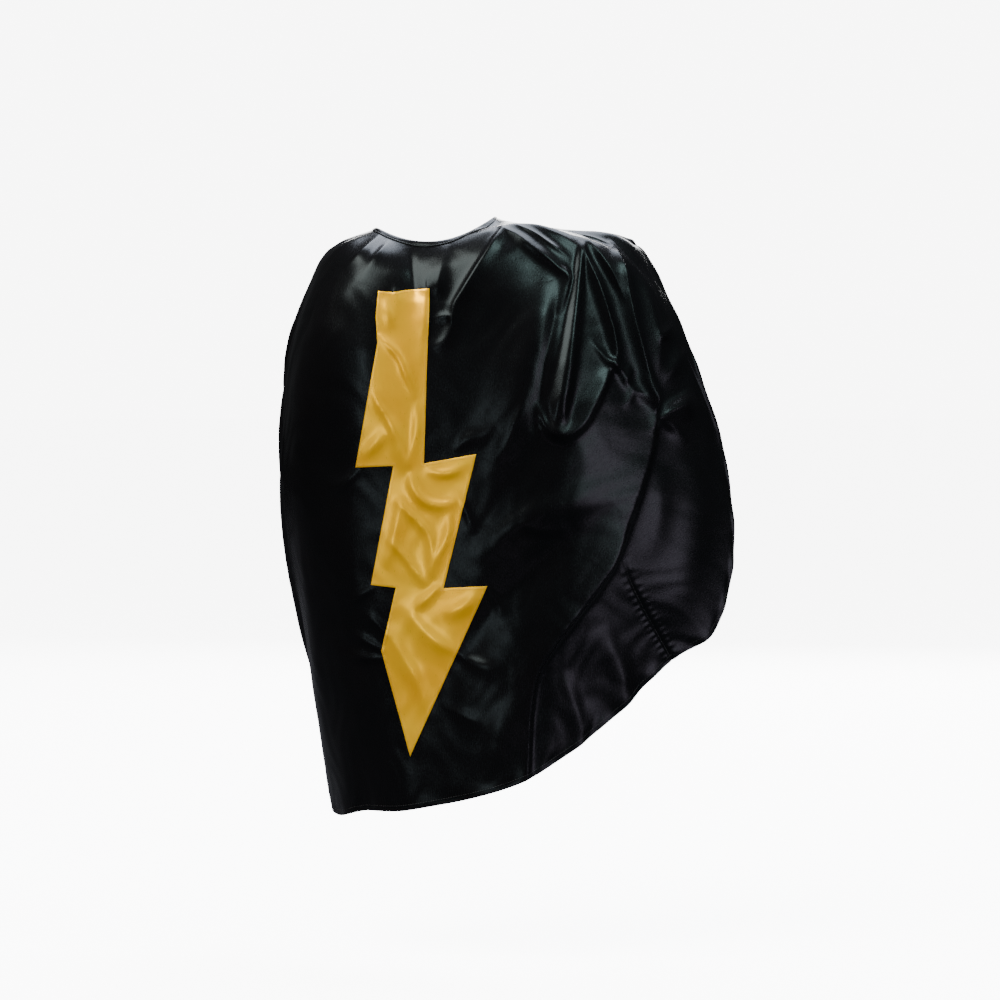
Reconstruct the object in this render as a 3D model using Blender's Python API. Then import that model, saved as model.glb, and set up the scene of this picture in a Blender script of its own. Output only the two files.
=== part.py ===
"""Superhero cape in black satin, with a yellow lightning bolt sewn on the back.

The cape is modelled as it hangs on a child who stands with the left hand on the hip and the right arm raised.
+Z is up, +Y is the way the wearer faces, and the origin is the centre of the neck opening. Units are metres.

Every cloth piece is a layer over one draped surface. The cape is first laid out flat, as a cutting pattern, in
polar coordinates about the neck: an angle, 0 at the centre of the back, and a distance. The drape then carries each
point of the pattern to its place on the wearer.
"""

import math

import bmesh
import bpy
import numpy as np
from mathutils import Matrix, Vector

MM = 0.001

# Driving sizes of the flat pattern.
NECK_RADIUS = 0.0625
BACK_LENGTH = 0.6795
SEAM_NECK_ANGLE = 85.0
SEAM_HEM_ANGLE = 27.0
FRONT_ANGLE = 150.0

# Outline of the pattern: (angle in degrees, distance from the neck's centre), from the back to the front.
OUTLINE = [
    (0.0, NECK_RADIUS + BACK_LENGTH),
    (10.0, 0.747),
    (20.4, 0.768),
    (27.3, 0.752),
    (32.0, 0.684),
    (36.0, 0.572),
    (42.0, 0.464),
    (50.0, 0.376),
    (60.0, 0.311),
    (75.0, 0.258),
    (90.0, 0.235),
    (105.0, 0.200),
    (120.0, 0.165),
    (140.0, 0.128),
    (160.0, 0.105),
    (180.0, 0.095),
    (215.0, 0.095),
]

# The neck ring on the wearer: an oval, turned a little, higher at the sides and lowest in front.
NECK_HALF_WIDTH = 0.070
NECK_HALF_DEPTH = 0.056
NECK_TURN = -18.0
NECK_SHIFT_X = -0.002
NECK_BACK_DROP = 0.018
NECK_FRONT_DROP = 0.035
NECK_SIDE_RISE = 0.006
NECK_LEAN = 0.0065
CHEST_SLOPE = math.radians(55.0)

# Lines that the cloth follows from the neck to its outer edge, by pattern angle. The neck's own point comes first
# and isn't listed. Negative angles are the wearer's left. A line with no points lies straight down the chest.
DRAPE_LINES = [
    (-215.0, []),
    (-180.0, []),
    (-150.0, []),
    (-125.0, [(-0.095, 0.088, -0.083)]),
    (-105.0, [(-0.102, 0.060, -0.037), (-0.140, 0.086, -0.097)]),
    (-90.0, [(-0.116, 0.036, -0.026), (-0.158, 0.080, -0.112)]),
    (-75.0, [(-0.124, 0.014, -0.023), (-0.156, 0.045, -0.078), (-0.172, 0.080, -0.135)]),
    (-60.0, [(-0.122, -0.012, -0.023), (-0.156, 0.015, -0.078), (-0.181, 0.070, -0.185)]),
    (-50.0, [(-0.117, -0.030, -0.026), (-0.156, -0.010, -0.085), (-0.183, 0.040, -0.185), (-0.184, 0.080, -0.250)]),
    (-42.0, [(-0.110, -0.045, -0.030), (-0.152, -0.035, -0.090), (-0.184, 0.015, -0.200), (-0.178, 0.080, -0.355)]),
    (-36.0, [(-0.103, -0.058, -0.034), (-0.146, -0.052, -0.096), (-0.182, -0.005, -0.220), (-0.171, 0.070, -0.430)]),
    (-32.0, [(-0.099, -0.064, -0.036), (-0.142, -0.062, -0.100), (-0.181, -0.018, -0.240), (-0.168, 0.045, -0.440),
             (-0.138, 0.085, -0.545)]),
    (-27.3, [(-0.092, -0.072, -0.039), (-0.136, -0.075, -0.107), (-0.177, -0.035, -0.260), (-0.164, 0.020, -0.460),
             (-0.132, 0.075, -0.630)]),
    (-20.4, [(-0.081, -0.082, -0.045), (-0.119, -0.092, -0.117), (-0.161, -0.068, -0.280), (-0.151, -0.045, -0.480),
             (-0.128, -0.005, -0.690)]),
    (-10.0, [(-0.057, -0.088, -0.053), (-0.080, -0.106, -0.128), (-0.100, -0.107, -0.300), (-0.092, -0.105, -0.500),
             (-0.080, -0.092, -0.686)]),
    (0.0, [(-0.025, -0.087, -0.060), (-0.025, -0.108, -0.140), (-0.025, -0.120, -0.310), (-0.022, -0.125, -0.500),
           (-0.020, -0.130, -0.680)]),
    (10.0, [(-0.002, -0.088, -0.058), (0.020, -0.110, -0.140), (0.045, -0.125, -0.300), (0.075, -0.145, -0.480),
            (0.097, -0.155, -0.648)]),
    (20.4, [(0.030, -0.086, -0.043), (0.078, -0.108, -0.120), (0.112, -0.122, -0.250), (0.142, -0.128, -0.410),
            (0.200, -0.088, -0.583)]),
    (27.3, [(0.045, -0.080, -0.030), (0.105, -0.097, -0.095), (0.160, -0.102, -0.210), (0.196, -0.092, -0.375),
            (0.283, -0.020, -0.512)]),
    (32.0, [(0.060, -0.072, -0.019), (0.120, -0.083, -0.072), (0.185, -0.078, -0.170), (0.250, -0.045, -0.320),
            (0.334, 0.016, -0.480)]),
    (36.0, [(0.070, -0.062, -0.009), (0.128, -0.070, -0.050), (0.200, -0.055, -0.130), (0.276, -0.010, -0.250),
            (0.355, 0.042, -0.410)]),
    (42.0, [(0.080, -0.052, -0.001), (0.140, -0.055, -0.030), (0.215, -0.030, -0.085), (0.290, 0.020, -0.172),
            (0.350, 0.058, -0.290)]),
    (50.0, [(0.090, -0.044, 0.004), (0.155, -0.035, -0.012), (0.225, 0.000, -0.045), (0.316, 0.045, -0.175)]),
    (60.0, [(0.098, -0.030, 0.003), (0.165, -0.005, -0.008), (0.225, 0.022, -0.020), (0.266, 0.050, -0.058)]),
    (75.0, [(0.105, -0.010, 0.003), (0.165, 0.018, -0.006), (0.235, 0.050, -0.018)]),
    (90.0, [(0.105, 0.010, 0.003), (0.155, 0.042, -0.007), (0.205, 0.075, -0.025)]),
    (105.0, [(0.115, 0.040, -0.002), (0.165, 0.085, -0.030)]),
    (125.0, [(0.115, 0.078, -0.038)]),
    (150.0, []),
    (180.0, []),
    (215.0, []),
]

# The long ridge that falls from the raised elbow to the hem: points (x, z), half width and height.
RIDGE = [(0.245, -0.215), (0.236, -0.262), (0.195, -0.387), (0.110, -0.531), (0.095, -0.649)]
RIDGE_HALF_WIDTH = 0.045
RIDGE_HEIGHT = 0.022

# Cloth layers, as (inner, outer) distances from the draped surface, outwards positive. Real satin is about 0.2 mm
# thick; here each layer is a little thicker, with a clear gap to the next.
SHELL = (0.0, 0.5 * MM)
INTERFACING = (-0.7 * MM, -0.3 * MM)
LINING = (-1.5 * MM, -1.0 * MM)
TOPSTITCH = (0.8 * MM, 1.2 * MM)
BOLT_WEB = (0.8 * MM, 1.1 * MM)
BOLT = (1.4 * MM, 1.9 * MM)
BOLT_STITCH = (2.2 * MM, 2.7 * MM)
GAP = 0.3 * MM

# Columns and rows of the grid that the layers share.
BACK_COLUMNS = 24
SIDE_COLUMNS = 20
MIDDLE_ROWS = 12
SEAM_HALF_GAP = 0.6 * MM
SEAM_THREAD_HALF = 0.3 * MM
BINDING_WIDTH = 8.0 * MM
FACING_WIDTH = 24.0 * MM
STITCH_INSET = 6.0 * MM
STITCH_WIDTH = 1.2 * MM

# The lightning bolt's outline as it hangs, (x, z), clockwise from the top left corner.
BOLT_OUTLINE = [
    (-0.068, -0.077), (-0.008, -0.074), (-0.014, -0.278), (0.047, -0.267), (0.009, -0.423), (0.060, -0.420),
    (-0.030, -0.620), (-0.064, -0.497), (-0.047, -0.423), (-0.076, -0.420), (-0.050, -0.281), (-0.094, -0.283),
]
BOLT_STITCH_INSET = 3.0 * MM
BOLT_STITCH_WIDTH = 1.2 * MM

# Closure tabs at the front of the neck, in pattern degrees, with their strips of hook and loop.
TAB_ROOT = 152.5
OVER_TAB = (TAB_ROOT, 204.0)
UNDER_TAB = (-200.5, -151.0)
STRIP = (166.0, 200.0)
TAB_TOP, TAB_BOTTOM = 0.5 * MM, 32.0 * MM
STRIP_TOP, STRIP_BOTTOM = 6.0 * MM, 26.0 * MM
UNDER_TAB_LAYER = (-1.6 * MM, -0.4 * MM)
LOOP_LAYER = (-0.1 * MM, 0.9 * MM)
HOOK_LAYER = (1.2 * MM, 2.0 * MM)
OVER_TAB_LAYER = (2.3 * MM, 3.5 * MM)
OVER_TAB_ROOT_LAYER = (-1.1 * MM, 0.1 * MM)
RAMP_ANGLES = (153.0, 164.0)

# The care label hangs from the back of the neck, inside.
LABEL_WIDTH, LABEL_HEIGHT, LABEL_THICKNESS = 0.024, 0.036, 0.0005
LABEL_TOP = (-0.0227, -0.0498, -0.0195)
LABEL_TURN = math.radians(-14.5)

COLOURS = {
    "black_satin": ((0.010, 0.010, 0.012), 0.28),
    "black_lining": ((0.016, 0.016, 0.019), 0.35),
    "yellow_satin": ((0.82, 0.52, 0.05), 0.30),
    "black_thread": ((0.02, 0.02, 0.022), 0.5),
    "yellow_thread": ((0.85, 0.55, 0.07), 0.5),
    "interfacing": ((0.75, 0.74, 0.70), 0.9),
    "fusible_web": ((0.80, 0.80, 0.78), 0.8),
    "hook_nylon": ((0.018, 0.018, 0.020), 0.6),
    "loop_nylon": ((0.025, 0.025, 0.027), 0.95),
    "label_tape": ((0.85, 0.85, 0.83), 0.7),
}


def clear_scene():
    for obj in list(bpy.data.objects):
        bpy.data.objects.remove(obj)


def material(name):
    """The Principled material of that name, made once."""
    made = bpy.data.materials.get(name)
    if made:
        return made
    made = bpy.data.materials.new(name)
    made.use_nodes = True
    colour, roughness = COLOURS[name]
    shader = made.node_tree.nodes["Principled BSDF"]
    shader.inputs["Base Color"].default_value = (*colour, 1.0)
    shader.inputs["Roughness"].default_value = roughness
    shader.inputs["Metallic"].default_value = 0.0
    made.diffuse_color = (*colour, 1.0)
    return made


# ---- curves -------------------------------------------------------------------------------------------------------


def smooth_slopes(x, y):
    """Slopes for a smooth curve through the points (x, y) that doesn't overshoot much; y may hold vectors."""
    step = np.diff(x)
    rise = (y[1:] - y[:-1]) / step[:, None]
    middle = (rise[:-1] * step[1:, None] + rise[1:] * step[:-1, None]) / (step[1:] + step[:-1])[:, None]
    return np.vstack([rise[:1], middle, rise[-1:]])


def smooth_curve(x, y, at):
    """The smooth curve through the points (x, y), read at each value of at."""
    x, y, at = np.asarray(x, float), np.asarray(y, float), np.asarray(at, float)
    flat = y.ndim == 1
    y = y.reshape(len(x), -1)
    slope = smooth_slopes(x, y)
    left = np.clip(np.searchsorted(x, at, side="right") - 1, 0, len(x) - 2)
    step = (x[left + 1] - x[left])[:, None]
    s = (at[:, None] - x[left][:, None]) / step
    s = np.clip(s, 0.0, 1.0)
    found = (
        (2 * s**3 - 3 * s**2 + 1) * y[left]
        + (s**3 - 2 * s**2 + s) * step * slope[left]
        + (3 * s**2 - 2 * s**3) * y[left + 1]
        + (s**3 - s**2) * step * slope[left + 1]
    )
    return found[:, 0] if flat else found


def outer_distance(angle):
    """Distance from the neck's centre to the pattern's outer edge, at each angle."""
    angles, distances = zip(*OUTLINE)
    return smooth_curve(angles, distances, np.abs(np.asarray(angle, float)))


def pattern_point(angle, distance):
    """A point of the flat pattern: across to the wearer's right, and down."""
    turn = np.radians(angle)
    return np.stack([distance * np.sin(turn), distance * np.cos(turn)], axis=-1)


def polar_of(point, near):
    """Angle and distance of pattern points, with the angle on the same turn as near."""
    angle = np.degrees(np.arctan2(point[..., 0], point[..., 1]))
    angle = angle + 360.0 * np.round((near - angle) / 360.0)
    return angle, np.linalg.norm(point, axis=-1)


# ---- the drape ----------------------------------------------------------------------------------------------------


def neck_ring(angle):
    """Where each angle of the pattern's neck edge lies on the wearer."""
    turn = np.radians(np.asarray(angle, float) + NECK_TURN)
    back = np.maximum(np.cos(turn), 0.0) ** 2
    front = np.minimum(np.cos(turn), 0.0) ** 2
    z = NECK_LEAN * np.sin(turn) + NECK_SIDE_RISE * np.sin(turn) ** 2 - NECK_BACK_DROP * back - NECK_FRONT_DROP * front
    return np.stack([NECK_HALF_WIDTH * np.sin(turn) + NECK_SHIFT_X, -NECK_HALF_DEPTH * np.cos(turn), z], axis=-1)


def drape_line(angle, points, share):
    """Points along one drape line, at each share of its length from the neck, 0, to the outer edge, 1."""
    start = neck_ring(angle)
    if not points:
        turn = math.radians(angle + NECK_TURN)
        length = float(outer_distance([angle])[0]) - NECK_RADIUS
        out = np.array([math.sin(turn), -math.cos(turn), 0.0]) * math.cos(CHEST_SLOPE)
        end = start + length * (out - np.array([0.0, 0.0, math.sin(CHEST_SLOPE)]))
        return start + share[:, None] * (end - start)
    line = np.vstack([start, points])
    along = np.concatenate([[0.0], np.cumsum(np.linalg.norm(np.diff(line, axis=0), axis=1))])
    return smooth_curve(along / along[-1], line, share)


def ridge_lift(place):
    """How far the long ridge pushes each place outwards, towards -Y."""
    path = np.array(RIDGE)
    nearest = np.full(len(place), 1.0)
    along = np.zeros(len(place))
    for k, (a, b) in enumerate(zip(path[:-1], path[1:])):
        t = np.clip(((place[:, [0, 2]] - a) @ (b - a)) / ((b - a) @ (b - a)), 0.0, 1.0)
        away = np.linalg.norm(place[:, [0, 2]] - a - t[:, None] * (b - a), axis=1)
        closer = away < nearest
        nearest[closer] = away[closer]
        along[closer] = (k + t[closer]) / (len(path) - 1)
    swell = np.clip(2.5 * along, 0.0, 1.0)
    behind = place[:, 1] < 0.03
    return np.where(behind, RIDGE_HEIGHT * swell * np.exp(-((nearest / RIDGE_HALF_WIDTH) ** 2)), 0.0)


def drape(angle, distance):
    """The place on the wearer of each point of the pattern."""
    angle, distance = np.asarray(angle, float), np.asarray(distance, float)
    share = np.clip((distance - NECK_RADIUS) / (outer_distance(angle) - NECK_RADIUS), 0.0, 1.0)
    at = np.array([a for a, _ in DRAPE_LINES])
    lines = np.stack([drape_line(a, points, share) for a, points in DRAPE_LINES])
    place = np.array([smooth_curve(at, lines[:, i], [angle[i]])[0] for i in range(len(angle))])
    place[:, 1] -= ridge_lift(place)
    return place


def outward(angle, distance):
    """The draped surface's normals, away from the wearer, from four places close round each point."""
    outer = outer_distance(angle)
    share = np.clip((distance - NECK_RADIUS) / (outer - NECK_RADIUS), 0.03, 0.97)
    flat = pattern_point(angle, NECK_RADIUS + share * (outer - NECK_RADIUS))
    step = 2.0 * MM

    def place(dx, dy):
        return drape(*polar_of(flat + step * np.array([dx, dy]), angle))

    normal = np.cross(place(0, 1) - place(0, -1), place(1, 0) - place(-1, 0))
    return normal / np.linalg.norm(normal, axis=1, keepdims=True)


# ---- the shared grid ----------------------------------------------------------------------------------------------


def even_edge_angles(first, last, count):
    """Angles that divide the outer edge between two angles into equal lengths."""
    angle = np.linspace(first, last, 800)
    edge = pattern_point(angle, outer_distance(angle))
    along = np.concatenate([[0.0], np.cumsum(np.linalg.norm(np.diff(edge, axis=0), axis=1))])
    return np.interp(np.linspace(0.0, along[-1], count + 1), along, angle)


def column_angles():
    """(neck angle, edge angle) of every column, from the left front to the right, and the seam columns' numbers."""
    neck, edge = [], []
    gap_neck = math.degrees(SEAM_HALF_GAP / NECK_RADIUS)
    gap_edge = math.degrees(SEAM_HALF_GAP / float(outer_distance([SEAM_HEM_ANGLE])[0]))
    thread = SEAM_THREAD_HALF / SEAM_HALF_GAP
    side_neck = np.linspace(SEAM_NECK_ANGLE + gap_neck, FRONT_ANGLE, SIDE_COLUMNS + 1)
    side_edge = even_edge_angles(SEAM_HEM_ANGLE + gap_edge, FRONT_ANGLE, SIDE_COLUMNS)
    back_neck = np.linspace(-SEAM_NECK_ANGLE + gap_neck, SEAM_NECK_ANGLE - gap_neck, BACK_COLUMNS + 1)
    back_edge = np.linspace(-SEAM_HEM_ANGLE + gap_edge, SEAM_HEM_ANGLE - gap_edge, BACK_COLUMNS + 1)
    thread_neck = SEAM_NECK_ANGLE + thread * gap_neck * np.array([-1.0, 1.0])
    thread_edge = SEAM_HEM_ANGLE + thread * gap_edge * np.array([-1.0, 1.0])
    neck = np.concatenate([-side_neck[::-1], -thread_neck[::-1], back_neck, thread_neck, side_neck])
    edge = np.concatenate([-side_edge[::-1], -thread_edge[::-1], back_edge, thread_edge, side_edge])
    left_end = SIDE_COLUMNS
    back_start = left_end + 3
    back_end = back_start + BACK_COLUMNS
    right_start = back_end + 3
    return neck, edge, {
        "left": (0, left_end),
        "left_seam": (left_end + 1, left_end + 2),
        "back": (back_start, back_end),
        "right_seam": (back_end + 1, back_end + 2),
        "right": (right_start, right_start + SIDE_COLUMNS),
    }


def make_grid():
    """Places and outward normals of the grid, [column, row, xyz], with the rows' names."""
    neck, edge, spans = column_angles()
    start = pattern_point(neck, NECK_RADIUS)
    end = pattern_point(edge, outer_distance(edge))
    ahead, behind = edge + 0.3, edge - 0.3
    tangent = pattern_point(ahead, outer_distance(ahead)) - pattern_point(behind, outer_distance(behind))
    tangent /= np.linalg.norm(tangent, axis=1, keepdims=True)
    inward = np.stack([-tangent[:, 1], tangent[:, 0]], axis=1)
    inward *= np.sign(((start - end) * inward).sum(1))[:, None]
    radial = start / NECK_RADIUS
    first = start + BINDING_WIDTH * radial
    second = start + FACING_WIDTH * radial
    stitch_in = end + (STITCH_INSET + STITCH_WIDTH) * inward
    stitch_out = end + STITCH_INSET * inward
    narrow = np.linalg.norm(stitch_in - second, axis=1) < 4 * MM
    second[narrow] = (first + stitch_in)[narrow] / 2
    middle = [second + f * (stitch_in - second) for f in np.linspace(0.0, 1.0, MIDDLE_ROWS + 1) ** 1.4]
    rows = [start, first, *middle, stitch_out, end]
    flat = np.stack(rows, axis=1)
    near = neck[:, None] + (edge - neck)[:, None] * np.linspace(0.0, 1.0, len(rows))[None]
    angle, distance = polar_of(flat, near)
    place = drape(angle.ravel(), distance.ravel()).reshape(*flat.shape[:2], 3)
    normal = outward(angle.ravel(), distance.ravel()).reshape(*flat.shape[:2], 3)
    last = len(rows) - 1
    names = {"neck": 0, "binding": 1, "facing": 2, "stitch_in": last - 2, "stitch_out": last - 1, "edge": last}
    return place, normal, spans, names


# ---- solids -------------------------------------------------------------------------------------------------------


def make_object(name, points, faces, look):
    """A mesh object of that name, with its normals pointing out."""
    mesh = bpy.data.meshes.new(name)
    mesh.from_pydata([tuple(p) for p in points], [], faces)
    made = bmesh.new()
    made.from_mesh(mesh)
    bmesh.ops.recalc_face_normals(made, faces=made.faces)
    if made.calc_volume(signed=True) < 0:
        bmesh.ops.reverse_faces(made, faces=made.faces)
    made.to_mesh(mesh)
    made.free()
    obj = bpy.data.objects.new(name, mesh)
    mesh.materials.append(material(look))
    bpy.context.scene.collection.objects.link(obj)
    return obj


def layer_solid(name, places, normals, triangles, layer, look):
    """A closed sheet between two distances from the draped surface. layer may hold one pair, or one for each point."""
    inner, outer = (np.broadcast_to(np.asarray(d, float).reshape(-1, 1), (len(places), 1)) for d in layer)
    points = np.vstack([places + inner * normals, places + outer * normals])
    count = len(places)
    faces = [tuple(t) for t in triangles] + [tuple(count + i for i in reversed(t)) for t in triangles]
    border = {}
    for t in triangles:
        for a, b in zip(t, (*t[1:], t[0])):
            if (b, a) in border:
                del border[(b, a)]
            else:
                border[(a, b)] = True
    for a, b in border:
        faces.append((b, a, count + a))
        faces.append((b, count + a, count + b))
    return make_object(name, points, faces, look)


def grid_triangles(block, first_row=0):
    """Triangles of a grid of points, [column, row, xyz]. Each cell is split along its shorter diagonal.

    The cells of the cape's first row, at the neck, always take the diagonal that starts on the neck edge, so that
    the binding can follow them.
    """
    columns, rows = block.shape[:2]
    found = []
    for i in range(columns - 1):
        for j in range(rows - 1):
            a, b, c, d = i * rows + j, (i + 1) * rows + j, (i + 1) * rows + j + 1, i * rows + j + 1
            falling = np.linalg.norm(block[i + 1, j + 1] - block[i, j])
            rising = np.linalg.norm(block[i + 1, j] - block[i, j + 1])
            if falling <= rising or first_row + j == 0:
                found += [(a, b, c), (a, c, d)]
            else:
                found += [(a, b, d), (b, c, d)]
    return found


def grid_block(name, grid, columns, rows, layer, look):
    """A layer over the grid's columns and rows, first and last included."""
    place, normal = grid
    block = place[columns[0]:columns[1] + 1, rows[0]:rows[1] + 1]
    turned = normal[columns[0]:columns[1] + 1, rows[0]:rows[1] + 1]
    triangles = grid_triangles(block, rows[0])
    return layer_solid(name, block.reshape(-1, 3), turned.reshape(-1, 3), triangles, layer, look)


def inside_outline(x, z, outline):
    """Whether the point is inside the outline, by counting crossings."""
    inside = False
    for (x0, z0), (x1, z1) in zip(outline, (*outline[1:], outline[0])):
        if (z0 > z) != (z1 > z) and x < x0 + (z - z0) / (z1 - z0) * (x1 - x0):
            inside = not inside
    return inside


def offset_outline(outline, inset):
    """The outline moved inwards by inset, all round."""
    points = [Vector(p) for p in outline]
    turn = sum(a.x * b.y - b.x * a.y for a, b in zip(points, points[1:] + points[:1]))
    side = 1.0 if turn > 0 else -1.0
    moved = []
    for before, here, after in zip(points[-1:] + points[:-1], points, points[1:] + points[:1]):
        first, second = (here - before).normalized(), (after - here).normalized()
        n1, n2 = Vector((-first.y, first.x)) * side, Vector((-second.y, second.x)) * side
        bisector = (n1 + n2).normalized()
        moved.append(tuple(here + bisector * (inset / max(bisector.dot(n1), 0.35))))
    return moved


def cut_from_back(grid, columns, outlines):
    """The draped surface cut along outlines in X and Z: its points, normals and triangles, within all the cuts."""
    place, normal = grid
    block = place[columns[0]:columns[1] + 1]
    turned = normal[columns[0]:columns[1] + 1]
    mesh = bmesh.new()
    lean = mesh.verts.layers.float_vector.new("lean")
    verts = []
    for p, n in zip(block.reshape(-1, 3), turned.reshape(-1, 3)):
        vert = mesh.verts.new(p)
        vert[lean] = Vector(n)
        verts.append(vert)
    for t in grid_triangles(block):
        mesh.faces.new([verts[k] for k in t])
    for outline in outlines:
        for (x0, z0), (x1, z1) in zip(outline, (*outline[1:], outline[0])):
            across = Vector((z1 - z0, 0.0, x0 - x1)).normalized()
            near = [f for f in mesh.faces if reaches(f, (x0, z0), (x1, z1))]
            parts = list({e for f in near for e in f.edges} | {v for f in near for v in f.verts} | set(near))
            bmesh.ops.bisect_plane(mesh, geom=parts, plane_co=(x0, 0.0, z0), plane_no=across, dist=1e-6)
    bmesh.ops.triangulate(mesh, faces=mesh.faces)
    return mesh, lean


def reaches(face, start, end):
    """Whether a face's box in X and Z meets the box of the line from start to end."""
    for axis, k in ((0, 0), (2, 1)):
        low, high = min(v.co[axis] for v in face.verts), max(v.co[axis] for v in face.verts)
        if high < min(start[k], end[k]) - 1e-4 or low > max(start[k], end[k]) + 1e-4:
            return False
    return True


def patch_solid(name, cut, keep, layer, look):
    """A layer over the faces of a cut surface that keep says belong to it."""
    mesh, lean = cut
    kept = [f for f in mesh.faces if keep(f.calc_center_median())]
    number, places, normals, triangles = {}, [], [], []
    for face in kept:
        corner = []
        for vert in face.verts:
            if vert not in number:
                number[vert] = len(places)
                places.append(tuple(vert.co))
                normals.append(tuple(vert[lean].normalized()))
            corner.append(number[vert])
        triangles.append(tuple(corner))
    return layer_solid(name, np.array(places), np.array(normals), triangles, layer, look)


# ---- the pieces ---------------------------------------------------------------------------------------------------


def make_panels(grid, spans, rows):
    """Satin shell and lining, each a back panel and two side panels, with the thread of the two side seams."""
    whole = (rows["neck"], rows["edge"])
    for side in ("left", "back", "right"):
        name = "back_panel" if side == "back" else f"{side}_side_panel"
        grid_block(f"shell_{name}", grid, spans[side], whole, SHELL, "black_satin")
        grid_block(f"lining_{name}", grid, spans[side], whole, LINING, "black_lining")
    for side in ("left", "right"):
        grid_block(f"{side}_seam_thread", grid, spans[f"{side}_seam"], whole, SHELL, "black_thread")


def make_edge_topstitch(grid, spans, rows):
    """The line of stitching that runs down one front edge, along the hem and up the other."""
    columns = (spans["left"][0], spans["right"][1])
    grid_block("edge_topstitch", grid, columns, (rows["stitch_in"], rows["stitch_out"]), TOPSTITCH, "black_thread")


def make_neck(grid, spans, rows):
    """Interfacing inside the neck edge, and the binding that folds over it."""
    columns = (spans["left"][0], spans["right"][1])
    place, normal = grid
    grid_block("neck_interfacing", grid, columns, (rows["neck"], rows["facing"]), INTERFACING, "interfacing")
    edge, first = place[:, rows["neck"]], place[:, rows["binding"]]
    down = (first - edge) / np.linalg.norm(first - edge, axis=1, keepdims=True)
    out = normal[:, rows["neck"]]
    out_first = normal[:, rows["binding"]]
    lip_in, lip_out = -2 * GAP, -2 * GAP - 0.4 * MM
    over, under = 0.8 * MM, -1.8 * MM
    wall = 0.4 * MM
    profile = [
        (first, out_first, 0.0, over),
        (first, out_first, 0.0, over + wall),
        (edge, out, lip_out, over + wall),
        (edge, out, lip_out, under - wall),
        (first, out_first, 0.0, under - wall),
        (first, out_first, 0.0, under),
        (edge, out, lip_in, under),
        (edge, out, lip_in, over),
    ]
    rings = np.stack([base + along * down + lift * side for base, side, along, lift in profile], axis=1)
    sweep("neck_binding", rings, (1, 5), "black_satin")


def sweep(name, rings, crossed, look):
    """A solid whose rings of points, [ring, point, xyz], are joined in order and closed at both ends.

    The strips in crossed take the other diagonal, the one that the panels' own triangles have there.
    """
    count, size = rings.shape[:2]
    faces = []
    for i in range(count - 1):
        for k in range(size):
            a, b = i * size + k, i * size + (k + 1) % size
            if k in crossed:
                faces += [(a, b, a + size), (b, b + size, a + size)]
            else:
                faces += [(a, b, b + size), (a, b + size, a + size)]
    half = size // 2
    for base in (0, (count - 1) * size):
        for k in range(half - 1):
            ring = [base + k, base + k + 1, base + size - 2 - k, base + size - 1 - k]
            faces += [tuple(ring[:3]), (ring[0], ring[2], ring[3])]
    return make_object(name, rings.reshape(-1, 3), faces, look)


def make_bolt(grid, spans):
    """The yellow satin bolt, the fusible web under it, and its line of stitching."""
    stitch_outer = offset_outline(BOLT_OUTLINE, BOLT_STITCH_INSET)
    stitch_inner = offset_outline(BOLT_OUTLINE, BOLT_STITCH_INSET + BOLT_STITCH_WIDTH)
    plain = cut_from_back(grid, spans["back"], [BOLT_OUTLINE])

    def in_bolt(centre):
        return inside_outline(centre.x, centre.z, BOLT_OUTLINE)

    patch_solid("bolt_fusible_web", plain, in_bolt, BOLT_WEB, "fusible_web")
    patch_solid("lightning_bolt", plain, in_bolt, BOLT, "yellow_satin")
    stitched = cut_from_back(grid, spans["back"], [stitch_outer, stitch_inner])

    def in_stitching(centre):
        within = inside_outline(centre.x, centre.z, stitch_outer)
        return within and not inside_outline(centre.x, centre.z, stitch_inner)

    patch_solid("bolt_stitching", stitched, in_stitching, BOLT_STITCH, "yellow_thread")
    plain[0].free()
    stitched[0].free()


def chest_grid(angles, drops):
    """Places and normals on the straight part of the front, for pattern angles and distances from the neck edge."""
    place, normal = [], []
    for angle in angles:
        turn = math.radians(angle + NECK_TURN)
        round_neck = np.array([math.sin(turn), -math.cos(turn), 0.0])
        down = round_neck * math.cos(CHEST_SLOPE) - np.array([0.0, 0.0, math.sin(CHEST_SLOPE)])
        ahead = neck_ring(angle + 0.1) - neck_ring(angle - 0.1)
        out = np.cross(down, ahead)
        out /= np.linalg.norm(out)
        if out @ round_neck < 0:
            out = -out
        start = neck_ring(angle)
        place.append([start + d * down for d in drops])
        normal.append([out for _ in drops])
    return np.array(place), np.array(normal)


def tab_block(name, angles, drops, layer, look):
    """A strap or strip on the chest, between angles and drops. layer may be a function of the angle."""
    place, normal = chest_grid(angles, drops)
    pairs = [layer(a) if callable(layer) else layer for a in angles]
    low = np.repeat([p[0] for p in pairs], len(drops))
    high = np.repeat([p[1] for p in pairs], len(drops))
    triangles = grid_triangles(place, 1)
    return layer_solid(name, place.reshape(-1, 3), normal.reshape(-1, 3), triangles, (low, high), look)


def over_tab_layer(angle):
    """The over tab starts level with the cape's front edge and rises over the tab beneath it."""
    rise = min(max((angle - RAMP_ANGLES[0]) / (RAMP_ANGLES[1] - RAMP_ANGLES[0]), 0.0), 1.0)
    rise = rise * rise * (3 - 2 * rise)
    return tuple(a + rise * (b - a) for a, b in zip(OVER_TAB_ROOT_LAYER, OVER_TAB_LAYER))


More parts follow.
